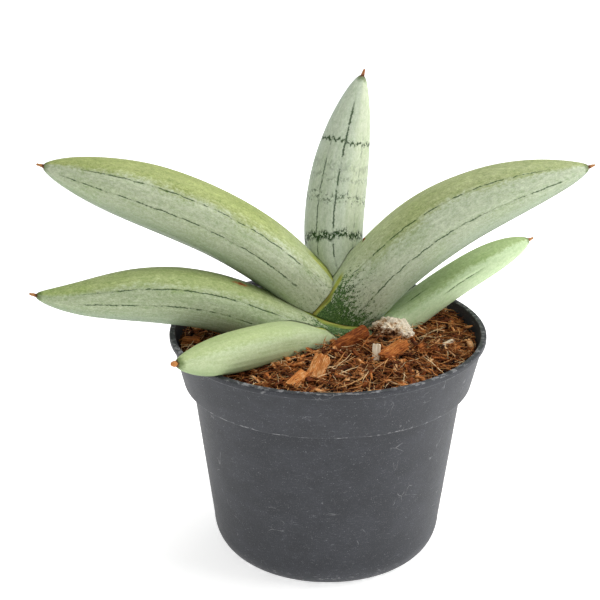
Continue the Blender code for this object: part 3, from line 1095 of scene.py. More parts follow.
@dataclass(frozen=True)
class NurseryPot:
    """The nursery pot: a thin lip, a tapered collar, a stepped-in body, a curved foot and drainage holes."""

    rim_radius: float = 60.0
    height: float = 88.0
    lip_width: float = 2.2
    lip_height: float = 2.0
    lip_reach: float = 1.2
    collar_height: float = 19.5
    collar_taper: float = 3.9
    collar_step: float = 3.2
    body_taper: float = 7.1
    foot_height: float = 11.0
    foot_reach: float = 7.4
    wall: float = 1.3
    floor: float = 1.8
    hole_count: int = 6
    hole_radius: float = 4.0
    hole_circle: float = 27.0
    steps: int = 256
    finish: RecycledPlastic = RecycledPlastic()

    def rounded(
        self, corners: Sequence[tuple[float, float, float]], count: int = 5
    ) -> list[tuple[float, float]]:
        """Rounds a line's corners.

        Args:
            corners: radius, height and fillet of each corner.
            count: points on each fillet.

        Returns:
            The rounded line.
        """
        line = []
        for index, (r, z, fillet) in enumerate(corners):
            here = Vector((r, z))
            if fillet == 0.0 or index in (0, len(corners) - 1):
                line.append((r, z))
                continue
            before = Vector(corners[index - 1][:2]) - here
            after = Vector(corners[index + 1][:2]) - here
            reach = min(fillet, before.length * 0.45, after.length * 0.45)
            start, end = here + before.normalized() * reach, here + after.normalized() * reach
            for step in range(count + 1):
                t = step / count
                point = start * (1 - t) ** 2 + here * 2 * t * (1 - t) + end * t**2
                line.append((point.x, point.y))
        return line

    def foot(
        self, radius: float, top: float, low: float, count: int = 10
    ) -> list[tuple[float, float, float]]:
        """A quarter of an ellipse from a wall in to a flat floor.

        Args:
            radius: the wall's radius.
            top: where the curve starts.
            low: the floor's height.
            count: how many spans.

        Returns:
            Corners with no fillet.
        """
        turns = [math.pi / 2 * i / count for i in range(count + 1)]
        return [
            (radius - self.foot_reach * (1 - math.cos(a)), low + (top - low) * (1 - math.sin(a)), 0.0)
            for a in turns
        ]

    def outline(self) -> list[tuple[float, float]]:
        """The pot's closed half-section, from the middle of its floor up the inside and down the outside."""
        collar = self.rim_radius - self.lip_reach
        collar_foot = self.height - self.collar_height
        body = collar - self.collar_taper - self.collar_step
        inner = body - self.wall - self.body_taper
        inner_foot = self.foot(inner, self.foot_height + self.floor, self.floor)[::-1]
        inside = [(0.0, self.floor, 0.0)] + inner_foot
        inside += [
            (body - self.wall, collar_foot, 1.0),
            (collar - self.collar_taper - self.wall, collar_foot + self.wall, 1.0),
            (collar - self.wall - 0.3, self.height - self.lip_height - 1.6, 0.4),
            (collar - self.wall + 0.1, self.height - self.lip_height, 0.3),
            (self.rim_radius - self.lip_width, self.height, 0.6),
        ]
        outside = [
            (self.rim_radius, self.height, 0.7),
            (self.rim_radius - 0.05, self.height - self.lip_height, 0.45),
            (collar, self.height - self.lip_height - 0.6, 0.5),
            (collar - self.collar_taper, collar_foot, 0.7),
            (body, collar_foot - 0.5, 0.6),
        ]
        outer_foot = self.foot(body - self.body_taper, self.foot_height, 0.0)
        return self.rounded(inside + outside + outer_foot + [(0, 0, 0)])

    def build(self) -> bpy.types.Object:
        """Turns, drills and dresses the pot.

        Returns:
            The finished pot.
        """
        shape = bmesh.new()
        line = self.outline()
        rings = []
        for r, z in line:
            if r == 0.0:
                rings.append([shape.verts.new((0.0, 0.0, z * MM))] * self.steps)
                continue
            ring = []
            for i in range(self.steps):
                a = 2 * math.pi * i / self.steps
                # Thin moulded walls wander a little out of true.
                wander = 0.10 * noise.noise(Vector((math.cos(a) * 1.5, math.sin(a) * 1.5, z / 30.0)))
                far = r + wander
                ring.append(shape.verts.new((far * math.cos(a) * MM, far * math.sin(a) * MM, z * MM)))
            rings.append(ring)
        for low, high in zip(rings, rings[1:]):
            for i in range(self.steps):
                j = (i + 1) % self.steps
                corners = dict.fromkeys((low[i], low[j], high[j], high[i]))
                if len(corners) > 2:
                    shape.faces.new(tuple(corners))
        bmesh.ops.recalc_face_normals(shape, faces=shape.faces)
        mesh = plain_mesh("pot_shell", shape)
        pot = new_piece("pot_shell", mesh, self.finish.build(self))
        drill = self.drill()
        subtract(pot, drill)
        settle(pot)
        bpy.data.objects.remove(drill, do_unlink=True)
        pot.data.shade_smooth()
        pot.data.set_sharp_from_angle(angle=math.radians(50.0))
        declare(pot, "pot_plastic", "pot")
        return pot

    def drill(self) -> bpy.types.Object:
        """Upright cylinders where the drainage holes go, as one cutter."""
        shape = bmesh.new()
        for index in range(self.hole_count):
            a = 2 * math.pi * index / self.hole_count
            x, y = self.hole_circle * math.cos(a), self.hole_circle * math.sin(a)
            place = Vector((x, y, self.floor / 2)) * MM
            bmesh.ops.create_cone(
                shape,
                cap_ends=True,
                segments=40,
                radius1=self.hole_radius * MM,
                radius2=self.hole_radius * MM,
                depth=(self.floor + 2.0) * MM,
                matrix=Matrix.Translation(place),
            )
        return place_object("drill", plain_mesh("drill", shape))


# Soil


class HuskTone(Enum):
    """Colour ranges of the coconut husk, dark to pale, as places and sRGB hex."""

    SOIL = ((0.0, "150a05"), (0.4, "33190b"), (0.7, "5c3317"), (1.0, "8a5226"))
    CHIP = ((0.0, "3d1c0c"), (0.3, "7d3f1c"), (0.6, "b56a30"), (0.85, "d08a4a"), (1.0, "e6b884"))
    FIBRE = ((0.0, "40200f"), (0.3, "86491f"), (0.62, "bd763a"), (0.86, "d8a468"), (1.0, "eccfa0"))
    PALE = ((0.0, "8a6745"), (0.35, "c6a67d"), (0.7, "e3cfae"), (1.0, "f3e8d2"))


@dataclass(frozen=True)
class Husk:
    """Finish of dry coconut husk and bark: matt, torn along the grain.

    The grain gives dark and pale streaks, and each bit has a tone of its own from the attribute tint. The
    attribute grain holds each bit's own coordinates in mm, with X along its fibres.
    """

    name: str
    tone: HuskTone
    streak: float = 0.30  # mm across the grain
    rough: float = 0.85

    def build(self) -> bpy.types.Material:
        """Makes the husk's material.

        Returns:
            The material.
        """
        made, tree, shader = new_material(self.name)
        tint = add_node(tree, ATTRIBUTE, out="Fac", attribute_name="tint")
        grain = add_node(tree, ATTRIBUTE, out="Vector", attribute_name="grain")
        offset = add_node(tree, MATH, (tint, 91.0), operation="MULTIPLY")
        moved = add_node(tree, VECTOR_MATH, (grain, offset))
        size = (self.streak * 14.0, self.streak, self.streak)
        scaled = add_node(tree, MAPPING, {0: moved, 3: tuple(1.0 / s for s in size)})
        streaks = add_node(tree, NOISE, {"Vector": scaled, "Scale": 1.0, "Detail": 4.0, "Roughness": 0.65})
        blotch = add_node(tree, NOISE, {"Vector": moved, "Scale": 0.45, "Detail": 3.0, "Roughness": 0.6})
        shade = add_node(tree, RANGE, (streaks, 0.3, 0.7, -0.34, 0.34))
        patch = add_node(tree, RANGE, (blotch, 0.3, 0.7, -0.16, 0.16))
        place = add_node(tree, MATH, (add_node(tree, MATH, (tint, shade)), patch))
        colour = add_node(tree, RAMP, (place,), stops=self.tone.value)
        tree.links.new(colour, shader.inputs["Base Color"])
        shader.inputs["Roughness"].default_value = self.rough
        shader.inputs["IOR"].default_value = 1.5
        shader.inputs["Specular IOR Level"].default_value = 0.22
        bump = add_node(tree, "ShaderNodeBump", {"Strength": 0.8, "Distance": 0.22 * MM, "Height": streaks})
        tree.links.new(bump, shader.inputs["Normal"])
        return made


@dataclass(frozen=True)
class Clod:
    """The rule for one torn block of husk: its size in mm, how it tapers and how rough it is."""

    size: tuple[float, float, float]
    taper: float
    rough: float
    seed: int
    cuts: tuple[int, int, int] = (5, 2, 1)
    bow: float = 0.0
    splinter: float = 0.0

    def shape(self) -> bmesh.types.BMesh:
        """Makes the block about the origin, its grain along X.

        Returns:
            A closed bmesh with the point attribute grain.
        """
        dice = random.Random(self.seed)
        made = bmesh.new()
        layer = made.verts.layers.float_vector.new("grain")
        nx, ny, nz = self.cuts
        corner: dict[tuple[int, int, int], bmesh.types.BMVert] = {}
        count = (ny + 1) * (nz + 1)
        ends = [[dice.uniform(-self.splinter, self.splinter) for _ in range(count)] for _ in range(2)]
        shrink = {(e, k): 1.0 - self.taper * dice.random() for e in (0, 1) for k in (1, 2)}
        for i in range(nx + 1):
            for j in range(ny + 1):
                for k in range(nz + 1):
                    if 0 < i < nx and 0 < j < ny and 0 < k < nz:
                        continue
                    u, v, w = 2 * i / nx - 1, 2 * j / ny - 1, 2 * k / nz - 1
                    t = i / nx
                    wide = shrink[0, 1] * (1 - t) + shrink[1, 1] * t
                    high = shrink[0, 2] * (1 - t) + shrink[1, 2] * t
                    soften = 1.0 - 0.10 * (abs(v) * abs(w)) ** 2 - 0.05 * abs(u) ** 4
                    x = u * self.size[0] / 2
                    if i in (0, nx):
                        x += ends[0 if i == 0 else 1][j * (nz + 1) + k]
                    y = v * wide * self.size[1] / 2 * soften
                    z = w * high * self.size[2] / 2 * soften
                    z += self.bow * (1 - u * u) * self.size[2]
                    spot = Vector((x * 0.22 + self.seed, y * 1.1, z * 1.1))
                    push = noise.noise_vector(spot) * self.rough * min(self.size[1], self.size[2])
                    thin = min(self.size[1], self.size[2])
                    fine = noise.noise_vector(spot * 3.1) * self.rough * 0.45 * thin
                    point = made.verts.new(Vector((x, y, z)) + push + fine)
                    point[layer] = (x, y, z)
                    corner[i, j, k] = point
        for side, (a, b) in ((0, (1, 2)), (1, (0, 2)), (2, (0, 1))):
            counts = self.cuts
            for end in (0, counts[side]):
                for p in range(counts[a]):
                    for q in range(counts[b]):
                        keys = []
                        for dp, dq in ((0, 0), (1, 0), (1, 1), (0, 1)):
                            key = [0, 0, 0]
                            key[side], key[a], key[b] = end, p + dp, q + dq
                            keys.append(corner[tuple(key)])
                        made.faces.new(keys)
        bmesh.ops.recalc_face_normals(made, faces=made.faces)
        return made


@dataclass(frozen=True)
class LooseChip:
    """One loose piece on the soil: the CAD node's middle, size and turns, and its look."""

    name: str
    centre: tuple[float, float, float]
    size: tuple[float, float, float]
    turn: float
    pitch: float
    roll: float
    taper: float
    seed: int
    tint: float
    rough: float = 0.12
    splinter: float = 0.3
    bow: float = 0.0
    slot: str = "husk_chip"
    cad: bool = True

    def matrix(self) -> Matrix:
        """Where the piece lies: pitched and rolled about its own axes, then turned about Z."""
        place = Matrix.Translation(Vector(self.centre) * MM)
        turn = Matrix.Rotation(math.radians(self.turn), 4, "Z")
        pitch = Matrix.Rotation(math.radians(-self.pitch), 4, "Y")
        roll = Matrix.Rotation(math.radians(self.roll), 4, "X")
        return place @ turn @ pitch @ roll @ Matrix.Scale(MM, 4)

    def build(self, finish: bpy.types.Material) -> bpy.types.Object:
        """Makes the piece with a torn, grained surface.

        Args:
            finish: its husk material.

        Returns:
            The finished piece.
        """
        cuts = tuple(max(3, round(s / 0.42)) for s in self.size)
        shape = Clod(self.size, self.taper, self.rough, self.seed, cuts, self.bow, self.splinter).shape()
        bmesh.ops.transform(shape, matrix=self.matrix(), verts=shape.verts)
        mesh = plain_mesh(self.name, shape)
        store_floats(mesh, "tint", [self.tint] * len(mesh.vertices))
        piece = new_piece(f"{self.name}_torn" if self.cad else self.name, mesh, finish)
        piece.data.shade_smooth()
        piece.data.set_sharp_from_angle(angle=math.radians(42.0))
        declare(piece, self.slot, *((self.name,) if self.cad else ()))
        return piece


@dataclass(frozen=True)
class BarkKnob:
    """The pale, crusted lump of dried bark beside the crown."""

    centre: tuple[float, float, float] = (24.0, -2.6, 87.8)
    size: tuple[float, float, float] = (14.5, 10.0, 9.6)
    seed: int = 7

    def build(self) -> bpy.types.Object:
        """Makes the lump.

        Returns:
            The finished piece.
        """
        shape = bmesh.new()
        bmesh.ops.create_icosphere(shape, subdivisions=6, radius=1.0)
        tints = []
        for point in shape.verts:
            spot = point.co * 1.7 + Vector((self.seed, 0.0, 0.0))
            lumps = noise.fractal(spot, 0.9, 2.1, 5)
            crumbs = 1.0 - abs(noise.noise(spot * 4.2)) * 2.0
            fine = noise.noise(spot * 9.0)
            squash = 1.0 + 0.24 * lumps + 0.09 * crumbs + 0.06 * fine
            squash *= 0.93 + 0.05 * noise.cell(spot * 2.4)
            # The tint grows paler towards the top and +X: the pale crust over a brown side, and also painted
            # light from the upper right with painted shade lower left.
            crust = 0.46 + 0.42 * point.co.z + 0.30 * point.co.x + 0.5 * lumps + 0.2 * fine
            tints.append(min(1.0, max(0.0, crust)))
            place = [point.co[k] * squash * self.size[k] / 2 + self.centre[k] for k in range(3)]
            point.co = Vector(place) * MM
        mesh = plain_mesh("bark_knob_crust", shape)
        store_floats(mesh, "tint", tints)
        piece = new_piece("bark_knob_crust", mesh, self.crust())
        piece.data.shade_smooth()
        declare(piece, "pale_husk", "bark_knob")
        return piece

    def crust(self) -> bpy.types.Material:
        """Dried bark with a pale, mealy crust over a brown, fibrous side: dull, pitted and uneven. Its tint
        is paler on the top and right as painted light, and darker lower left as painted shade.
        """
        made, tree, shader = new_material("crusted_bark")
        tint = add_node(tree, ATTRIBUTE, out="Fac", attribute_name="tint")
        place = add_node(tree, "ShaderNodeTexCoord", out="Object")
        # Pits 0.6 mm across break the crust up.
        pits = add_node(tree, NOISE, {"Vector": place, "Scale": 1500.0, "Detail": 4.0, "Roughness": 0.7})
        broad = add_node(tree, NOISE, {"Vector": place, "Scale": 420.0, "Detail": 3.0, "Roughness": 0.6})
        mixed = add_node(tree, RANGE, (pits, 0.3, 0.7, -0.38, 0.38))
        mixed = add_node(tree, MATH, (tint, mixed))
        mixed = add_node(tree, MATH, (mixed, add_node(tree, RANGE, (broad, 0.3, 0.7, -0.2, 0.2))))
        stops = ((0.12, "3a2010"), (0.34, "7d5130"), (0.5, "c09367"), (0.66, "e6cda9"), (0.9, "f6ead3"))
        tree.links.new(add_node(tree, RAMP, (mixed,), stops=stops), shader.inputs["Base Color"])
        shader.inputs["Roughness"].default_value = 0.92
        shader.inputs["Specular IOR Level"].default_value = 0.2
        bump = add_node(tree, "ShaderNodeBump", {"Strength": 0.9, "Distance": 0.4 * MM, "Height": pits})
        tree.links.new(bump, shader.inputs["Normal"])
        return made


class SoilTree:
    """A Geometry Nodes tree that sets things on random points of the soil."""

    def __init__(self, name: str, values: dict[str, float]) -> None:
        """Starts the tree and spreads the points where the soil has room.

        Args:
            name: what the tree and its piece are called.
            values: each input's name and what it is set to.
        """
        self.name = name
        self.values = values
        self.tree = bpy.data.node_groups.new(name, "GeometryNodeTree")
        sockets = self.tree.interface
        sockets.new_socket("Ground", in_out="INPUT", socket_type="NodeSocketGeometry")
        self.inputs: dict[str, str] = {}
        for key in values:
            kind = "NodeSocketInt" if key == "Seed" else "NodeSocketFloat"
            self.inputs[key] = sockets.new_socket(key, in_out="INPUT", socket_type=kind).identifier
        sockets.new_socket("Geometry", in_out="OUTPUT", socket_type="NodeSocketGeometry")
        self.given = add_node(self.tree, "NodeGroupInput")
        room = add_node(self.tree, NAMED, {"Name": "room"}, data_type="FLOAT")
        density = multiplied(self.tree, part_of(self.given, "Density"), room)
        spread = {"Mesh": self.given, "Density": density, "Seed": part_of(self.given, "Seed")}
        self.points = add_node(self.tree, "GeometryNodeDistributePointsOnFaces", spread)

    def dice(self, low: Socket, high: Socket, seed: int) -> bpy.types.NodeSocket:
        """A random number for each point or instance.

        Args:
            low: the least it can be.
            high: the most it can be.
            seed: its random seed.

        Returns:
            The number.
        """
        return add_node(self.tree, DICE, {2: low, 3: high, "Seed": seed}, 1, data_type="FLOAT")

    def turn(self, rolls: bool, seed: int) -> bpy.types.NodeSocket:
        """A random turn about Z with some pitch, up to the input Tilt.

        Args:
            rolls: whether it also rolls about X.
            seed: its random seed.

        Returns:
            The turn in radians.
        """
        tilt = part_of(self.given, "Tilt")
        low = multiplied(self.tree, tilt, -1.0)
        least = add_node(self.tree, JOIN, (low if rolls else 0.0, low, 0.0))
        most = add_node(self.tree, JOIN, (tilt if rolls else 0.0, tilt, 2 * math.pi))
        return add_node(self.tree, DICE, {0: least, 1: most, "Seed": seed}, data_type="FLOAT_VECTOR")

    def settled(self, instances: Socket, seed: int) -> bpy.types.NodeSocket:
        """Sinks or lifts each instance, gives it a tint and turns it into real geometry.

        Args:
            instances: what was set on the points.
            seed: random seed of the lift; the tint's is the next one.

        Returns:
            The geometry.
        """
        down = multiplied(self.tree, part_of(self.given, "Sink"), -1.0)
        shift = add_node(self.tree, JOIN, (0.0, 0.0, self.dice(down, part_of(self.given, "Lift"), seed)))
        moving = {"Instances": instances, "Translation": shift, "Local Space": False}
        moved = add_node(self.tree, "GeometryNodeTranslateInstances", moving)
        marked = add_node(
            self.tree,
            "GeometryNodeStoreNamedAttribute",
            {"Geometry": moved, "Name": "tint", "Value": self.dice(0.0, 1.0, seed + 1)},
            data_type="FLOAT",
            domain="INSTANCE",
        )
        return add_node(self.tree, "GeometryNodeRealizeInstances", {"Geometry": marked})

    def run(self, result: Socket, finish: bpy.types.Material, ground: bpy.types.Object) -> bpy.types.Object:
        """Closes the tree and runs it on a copy of the ground.

        Args:
            result: the tree's geometry.
            finish: its material.
            ground: the soil, with the point attribute room.

        Returns:
            The finished piece.
        """
        dressed = add_node(self.tree, "GeometryNodeSetMaterial", {"Geometry": result, "Material": finish})
        add_node(self.tree, "NodeGroupOutput", {"Geometry": dressed})
        piece = place_object(self.name, ground.data.copy())
        step = piece.modifiers.new("Strew", "NODES")
        step.node_group = self.tree
        for key, value in self.values.items():
            step[self.inputs[key]] = value
        settle(piece)
        return piece


@dataclass(frozen=True)
class Scatter:
    """Bits strewn over the soil by Geometry Nodes, each with a tint of its own."""

    name: str
    per_mm2: float
    seed: int
    smallest: float
    largest: float
    tilt: float  # radians
    sink: float  # mm
    lift: float  # mm

    def build(
        self, ground: bpy.types.Object, shapes: Sequence[bmesh.types.BMesh], finish: bpy.types.Material
    ) -> bpy.types.Object:
        """Strews the shapes over the ground.

        Args:
            ground: the soil, with the point attribute room.
            shapes: the bits to choose from, in mm about the origin.
            finish: their material.

        Returns:
            The finished piece.
        """
        bits = bpy.data.collections.new(f"{self.name}_bits")
        for index, shape in enumerate(shapes):
            bmesh.ops.scale(shape, vec=(MM,) * 3, verts=shape.verts)
            mesh = plain_mesh(f"{self.name}_{index:02d}", shape)
            bits.objects.link(bpy.data.objects.new(mesh.name, mesh))
        soil = SoilTree(
            self.name,
            {
                "Density": self.per_mm2 / (MM * MM),
                "Seed": self.seed,
                "Smallest": self.smallest,
                "Largest": self.largest,
                "Tilt": self.tilt,
                "Sink": self.sink * MM,
                "Lift": self.lift * MM,
            },
        )
        choosing = {4: 0, 5: max(0, len(shapes) - 1), "Seed": 23}
        picking = {"Collection": bits, "Separate Children": True, "Reset Children": True}
        strewn = add_node(
            soil.tree,
            "GeometryNodeInstanceOnPoints",
            {
                "Points": soil.points,
                "Instance": add_node(soil.tree, "GeometryNodeCollectionInfo", picking),
                "Pick Instance": True,
                "Instance Index": add_node(soil.tree, DICE, choosing, 2, data_type="INT"),
                "Rotation": soil.turn(True, 21),
                "Scale": soil.dice(part_of(soil.given, "Smallest"), part_of(soil.given, "Largest"), 22),
            },
        )
        piece = soil.run(soil.settled(strewn, 24), finish, ground)
        for bit in list(bits.objects):
            bpy.data.objects.remove(bit, do_unlink=True)
        bpy.data.collections.remove(bits)
        return piece


@dataclass(frozen=True)
class Fibres:
    """Loose coir fibres over the soil: thin, bent tubes grown by Geometry Nodes."""

    name: str
    per_mm2: float
    seed: int
    shortest: float  # mm
    longest: float  # mm
    thickness: float  # mm
    tilt: float  # radians
    sink: float  # mm
    lift: float  # mm
    bend: float  # mm
    bend_size: float  # mm
    joints: int = 7

    def build(self, ground: bpy.types.Object, reach: float, finish: bpy.types.Material) -> bpy.types.Object:
        """Grows the fibres over the ground.

        Args:
            ground: the soil, with the point attribute room.
            reach: how far from the middle a fibre may go, in mm.
            finish: their material.

        Returns:
            The finished piece.
        """
        soil = SoilTree(
            self.name,
            {
                "Density": self.per_mm2 / (MM * MM),
                "Seed": self.seed,
                "Shortest": self.shortest * MM,
                "Longest": self.longest * MM,
                "Thickness": self.thickness / 2 * MM,
                "Tilt": self.tilt,
                "Sink": self.sink * MM,
                "Lift": self.lift * MM,
                "Bend": self.bend * MM,
                "Bend Size": self.bend_size * MM,
                "Reach": reach * MM,
            },
        )
        ends = {"Start": (-0.5, 0.0, 0.0), "End": (0.5, 0.0, 0.0)}
        line = add_node(soil.tree, "GeometryNodeCurvePrimitiveLine", ends, mode="POINTS")
        line = add_node(soil.tree, "GeometryNodeResampleCurve", {"Curve": line, "Count": self.joints})
        length = soil.dice(part_of(soil.given, "Shortest"), part_of(soil.given, "Longest"), 32)
        growing = {"Points": soil.points, "Instance": line, "Rotation": soil.turn(False, 31), "Scale": length}
        grown = add_node(soil.tree, "GeometryNodeInstanceOnPoints", growing)
        held = self.bent(soil, soil.settled(grown, 34))
        return soil.run(self.tube(soil, held), finish, ground)

    def bent(self, soil: SoilTree, lines: Socket) -> bpy.types.NodeSocket:
        """Bends the lines and keeps them inside the pot.

        Args:
            soil: the tree they grow in.
            lines: the straight lines, with the attribute tint.

        Returns:
            The bent lines.
        """
        tree, given = soil.tree, soil.given
        # Every fibre bends with a noise field that its own tint shifts, so neighbours bend differently.
        place = add_node(tree, "GeometryNodeInputPosition")
        own = multiplied(tree, add_node(tree, NAMED, {"Name": "tint"}, data_type="FLOAT"), 40.0)
        inverse = add_node(tree, MATH, (1.0, part_of(given, "Bend Size")), operation="DIVIDE")
        scaled = add_node(tree, VECTOR_MATH, {0: place, 3: inverse}, operation="SCALE")
        swaying = {"Vector": scaled, "W": own, "Scale": 1.0, "Detail": 1.5}
        field = add_node(tree, NOISE, swaying, "Color", noise_dimensions="4D")
        field = add_node(tree, VECTOR_MATH, (field, (0.5, 0.5, 0.5)), operation="SUBTRACT")
        field = add_node(tree, VECTOR_MATH, (field, (2.0, 2.0, 1.1)), operation="MULTIPLY")
        push = add_node(tree, VECTOR_MATH, {0: field, 3: part_of(given, "Bend")}, operation="SCALE")
        bent = add_node(tree, "GeometryNodeSetPosition", {"Geometry": lines, "Offset": push})
        # What reaches past the pot's wall is drawn in to it.
        flat = add_node(tree, VECTOR_MATH, (place, (1.0, 1.0, 0.0)), operation="MULTIPLY")
        away = add_node(tree, VECTOR_MATH, (flat,), "Value", operation="LENGTH")
        over = add_node(tree, MATH, (part_of(given, "Reach"), away), operation="DIVIDE")
        over = add_node(tree, MATH, (over, 1.0), operation="MINIMUM")
        keep = add_node(tree, JOIN, (over, over, 1.0))
        drawn = add_node(tree, VECTOR_MATH, (place, keep), operation="MULTIPLY")
        return add_node(tree, "GeometryNodeSetPosition", {"Geometry": bent, "Position": drawn})

    def tube(self, soil: SoilTree, lines: Socket) -> bpy.types.NodeSocket:
        """Gives the lines a three-sided section that thins towards both ends.

        Args:
            soil: the tree they grow in.
            lines: the bent lines.

        Returns:
            The fibres.
        """
        tree = soil.tree
        share = add_node(tree, "GeometryNodeSplineParameter")
        middle = add_node(tree, MATH, (share, 0.5), operation="SUBTRACT")
        middle = add_node(tree, MATH, (middle,), operation="ABSOLUTE")
        slim = add_node(tree, RANGE, (middle, 0.2, 0.5, 1.0, 0.35))
        radius = multiplied(tree, slim, part_of(soil.given, "Thickness"), soil.dice(0.6, 1.35, 36))
        section = add_node(tree, "GeometryNodeCurvePrimitiveCircle", {"Resolution": 3, "Radius": 1.0})
        sized = add_node(tree, "GeometryNodeSetCurveRadius", {"Curve": lines, "Radius": radius})
        sweep = {"Curve": sized, "Profile Curve": section, "Scale": radius, "Fill Caps": True}
        return add_node(tree, "GeometryNodeCurveToMesh", sweep)


@dataclass(frozen=True)
class HuskSoil:
    """The husk soil: a dark, broken ground with crumbs, chips and fibres strewn over it."""

    pot: NurseryPot
    depth: float = 5.0
    crown: float = 2.5
    gap: float = 0.3
    levels: tuple[float, ...] = (78.0, 69.0, 40.0, 12.8, 8.0, 5.0, 3.2)  # heights of the buried side's rings
    rings: int = 130
    steps: int = 300

    def bore(self, height: float) -> float:
        """The pot's inside radius at a height, less the gap, in mm."""
        pot = self.pot
        collar = pot.rim_radius - pot.lip_reach - pot.wall
        collar_foot = pot.height - pot.collar_height
        body = collar - pot.collar_taper - pot.collar_step
        low = pot.foot_height + pot.floor
        if height >= collar_foot + pot.wall:
            share = (height - collar_foot - pot.wall) / (pot.height - pot.lip_height - collar_foot - pot.wall)
            radius = collar - pot.collar_taper * (1.0 - share)
        elif height >= collar_foot:
            radius = body
        elif height >= low:
            radius = body - pot.body_taper * (collar_foot - height) / (collar_foot - low)
        else:
            turn = math.asin(min(1.0, max(0.0, 1.0 - (height - pot.floor) / (low - pot.floor))))
            radius = body - pot.body_taper - pot.foot_reach * (1 - math.cos(turn))
        return radius - self.gap

    def top(self, x: float, y: float, reach: float) -> float:
        """The ground's height in mm: a mound with clods and crumbs in it.

        Args:
            x: place in mm.
            y: place in mm.
            reach: the ground's radius in mm.

        Returns:
            The height in mm.
        """
        away = min(1.0, math.hypot(x, y) / reach)
        spot = Vector((x / 7.0, y / 7.0, 1.7))
        lumps = noise.noise(spot) * 1.1 + noise.noise(spot * 2.7) * 0.8
        crumbs = abs(noise.noise(spot * 6.0)) * 0.9 + noise.noise(spot * 12.0) * 0.3
        edge = min(1.0, (1.0 - away) * reach / 2.5)
        mound = self.pot.height - self.depth + self.crown * (1.0 - away**2)
        return mound + (lumps - crumbs) * (0.35 + 0.65 * edge) - 0.8

    def ground(self, leaves: Sequence[bpy.types.Object]) -> bpy.types.Object:
        """Makes the ground: a closed filling with a broken top.

        Args:
            leaves: the leaves that stand in it.

        Returns:
            The ground, with the point attributes room, tint and grain.
        """
        level = self.pot.height - self.depth
        reach = self.bore(level)
        shape = bmesh.new()
        hub = shape.verts.new((0.0, 0.0, self.top(0.0, 0.0, reach) * MM))
        rings: list[list[bmesh.types.BMVert]] = []
        for row in range(1, self.rings + 1):
            radius = reach * (row / self.rings) ** 0.8
            ring = []
            for i in range(self.steps):
                a = 2 * math.pi * i / self.steps
                x, y = radius * math.cos(a), radius * math.sin(a)
                ring.append(shape.verts.new(Vector((x, y, self.top(x, y, reach))) * MM))
            rings.append(ring)
        floor = self.pot.floor + self.gap
        collar_foot = self.pot.height - self.pot.collar_height + self.pot.wall
        for height in (self.levels[0], collar_foot, *self.levels[1:], floor):
            radius = self.bore(max(height, floor))
            ring = []
            for i in range(self.steps):
                a = 2 * math.pi * i / self.steps
                x, y = radius * math.cos(a), radius * math.sin(a)
                ring.append(shape.verts.new(Vector((x, y, height)) * MM))
            rings.append(ring)
        foot = shape.verts.new((0.0, 0.0, floor * MM))
        for i in range(self.steps):
            j = (i + 1) % self.steps
            shape.faces.new((hub, rings[0][i], rings[0][j]))
            shape.faces.new((foot, rings[-1][j], rings[-1][i]))
            for low, high in zip(rings, rings[1:]):
                shape.faces.new((low[i], high[i], high[j], low[j]))
        bmesh.ops.recalc_face_normals(shape, faces=shape.faces)
        mesh = plain_mesh("soil_ground", shape)
        self.mark(mesh, leaves, level, reach)
        return new_piece("soil_ground", mesh, Husk("crumbled_coir_ground", HuskTone.SOIL, 0.6, 0.95).build())

    def mark(
        self, mesh: bpy.types.Mesh, leaves: Sequence[bpy.types.Object], level: float, reach: float
    ) -> None:
        """Stores where there is room for loose bits, and the ground's tint and grain.

        Args:
            mesh: the ground's mesh.
            leaves: the leaves that stand in it.
            level: the ground's height at the wall in mm.
            reach: its radius in mm.
        """
        graph = bpy.context.evaluated_depsgraph_get()
        trees = [BVHTree.FromObject(leaf, graph) for leaf in leaves]
        rooms, tints, grains = [], [], []
        for point in mesh.vertices:
            here = point.co / MM
            away = math.hypot(here.x, here.y)
            free = 1.0 if here.z > level - 4.5 and away < reach - 0.6 else 0.0
            if free:
                for tree in trees:
                    _, normal, _, _ = tree.ray_cast(point.co, Vector((0.0, 0.0, -1.0)))
                    off = tree.find_nearest(point.co)[3] / MM
                    inside = normal is not None and normal.z < 0.0
                    free = 0.0 if inside else min(free, max(0.0, (off - 0.3) / 1.2))
            rooms.append(free)
            tints.append(0.45 + 0.35 * noise.noise(Vector((here.x / 4.0, here.y / 4.0, 5.0))))
            grains.extend((here.x, here.y, here.z))
        store_floats(mesh, "room", rooms)
        store_floats(mesh, "tint", tints)
        grain = mesh.attributes.new("grain", "FLOAT_VECTOR", "POINT")
        grain.data.foreach_set("vector", grains)

    def clear_wall(self, mesh: bpy.types.Mesh) -> None:
        """Takes out every loose bit that would reach into the pot's wall.

        Args:
            mesh: the loose bits, changed in place.
        """
        shape = bmesh.new()
        shape.from_mesh(mesh)
        seen: set[bmesh.types.BMVert] = set()
        doomed: list[bmesh.types.BMVert] = []
        for start in shape.verts:
            if start in seen:
                continue
            seen.add(start)
            bit, waiting = [start], [start]
            while waiting:
                point = waiting.pop()
                for edge in point.link_edges:
                    other = edge.other_vert(point)
                    if other not in seen:
                        seen.add(other)
                        bit.append(other)
                        waiting.append(other)
            if any(math.hypot(point.co.x, point.co.y) > self.bore(point.co.z / MM) * MM for point in bit):
                doomed.extend(bit)
        bmesh.ops.delete(shape, geom=doomed, context="VERTS")
        shape.to_mesh(mesh)
        shape.free()

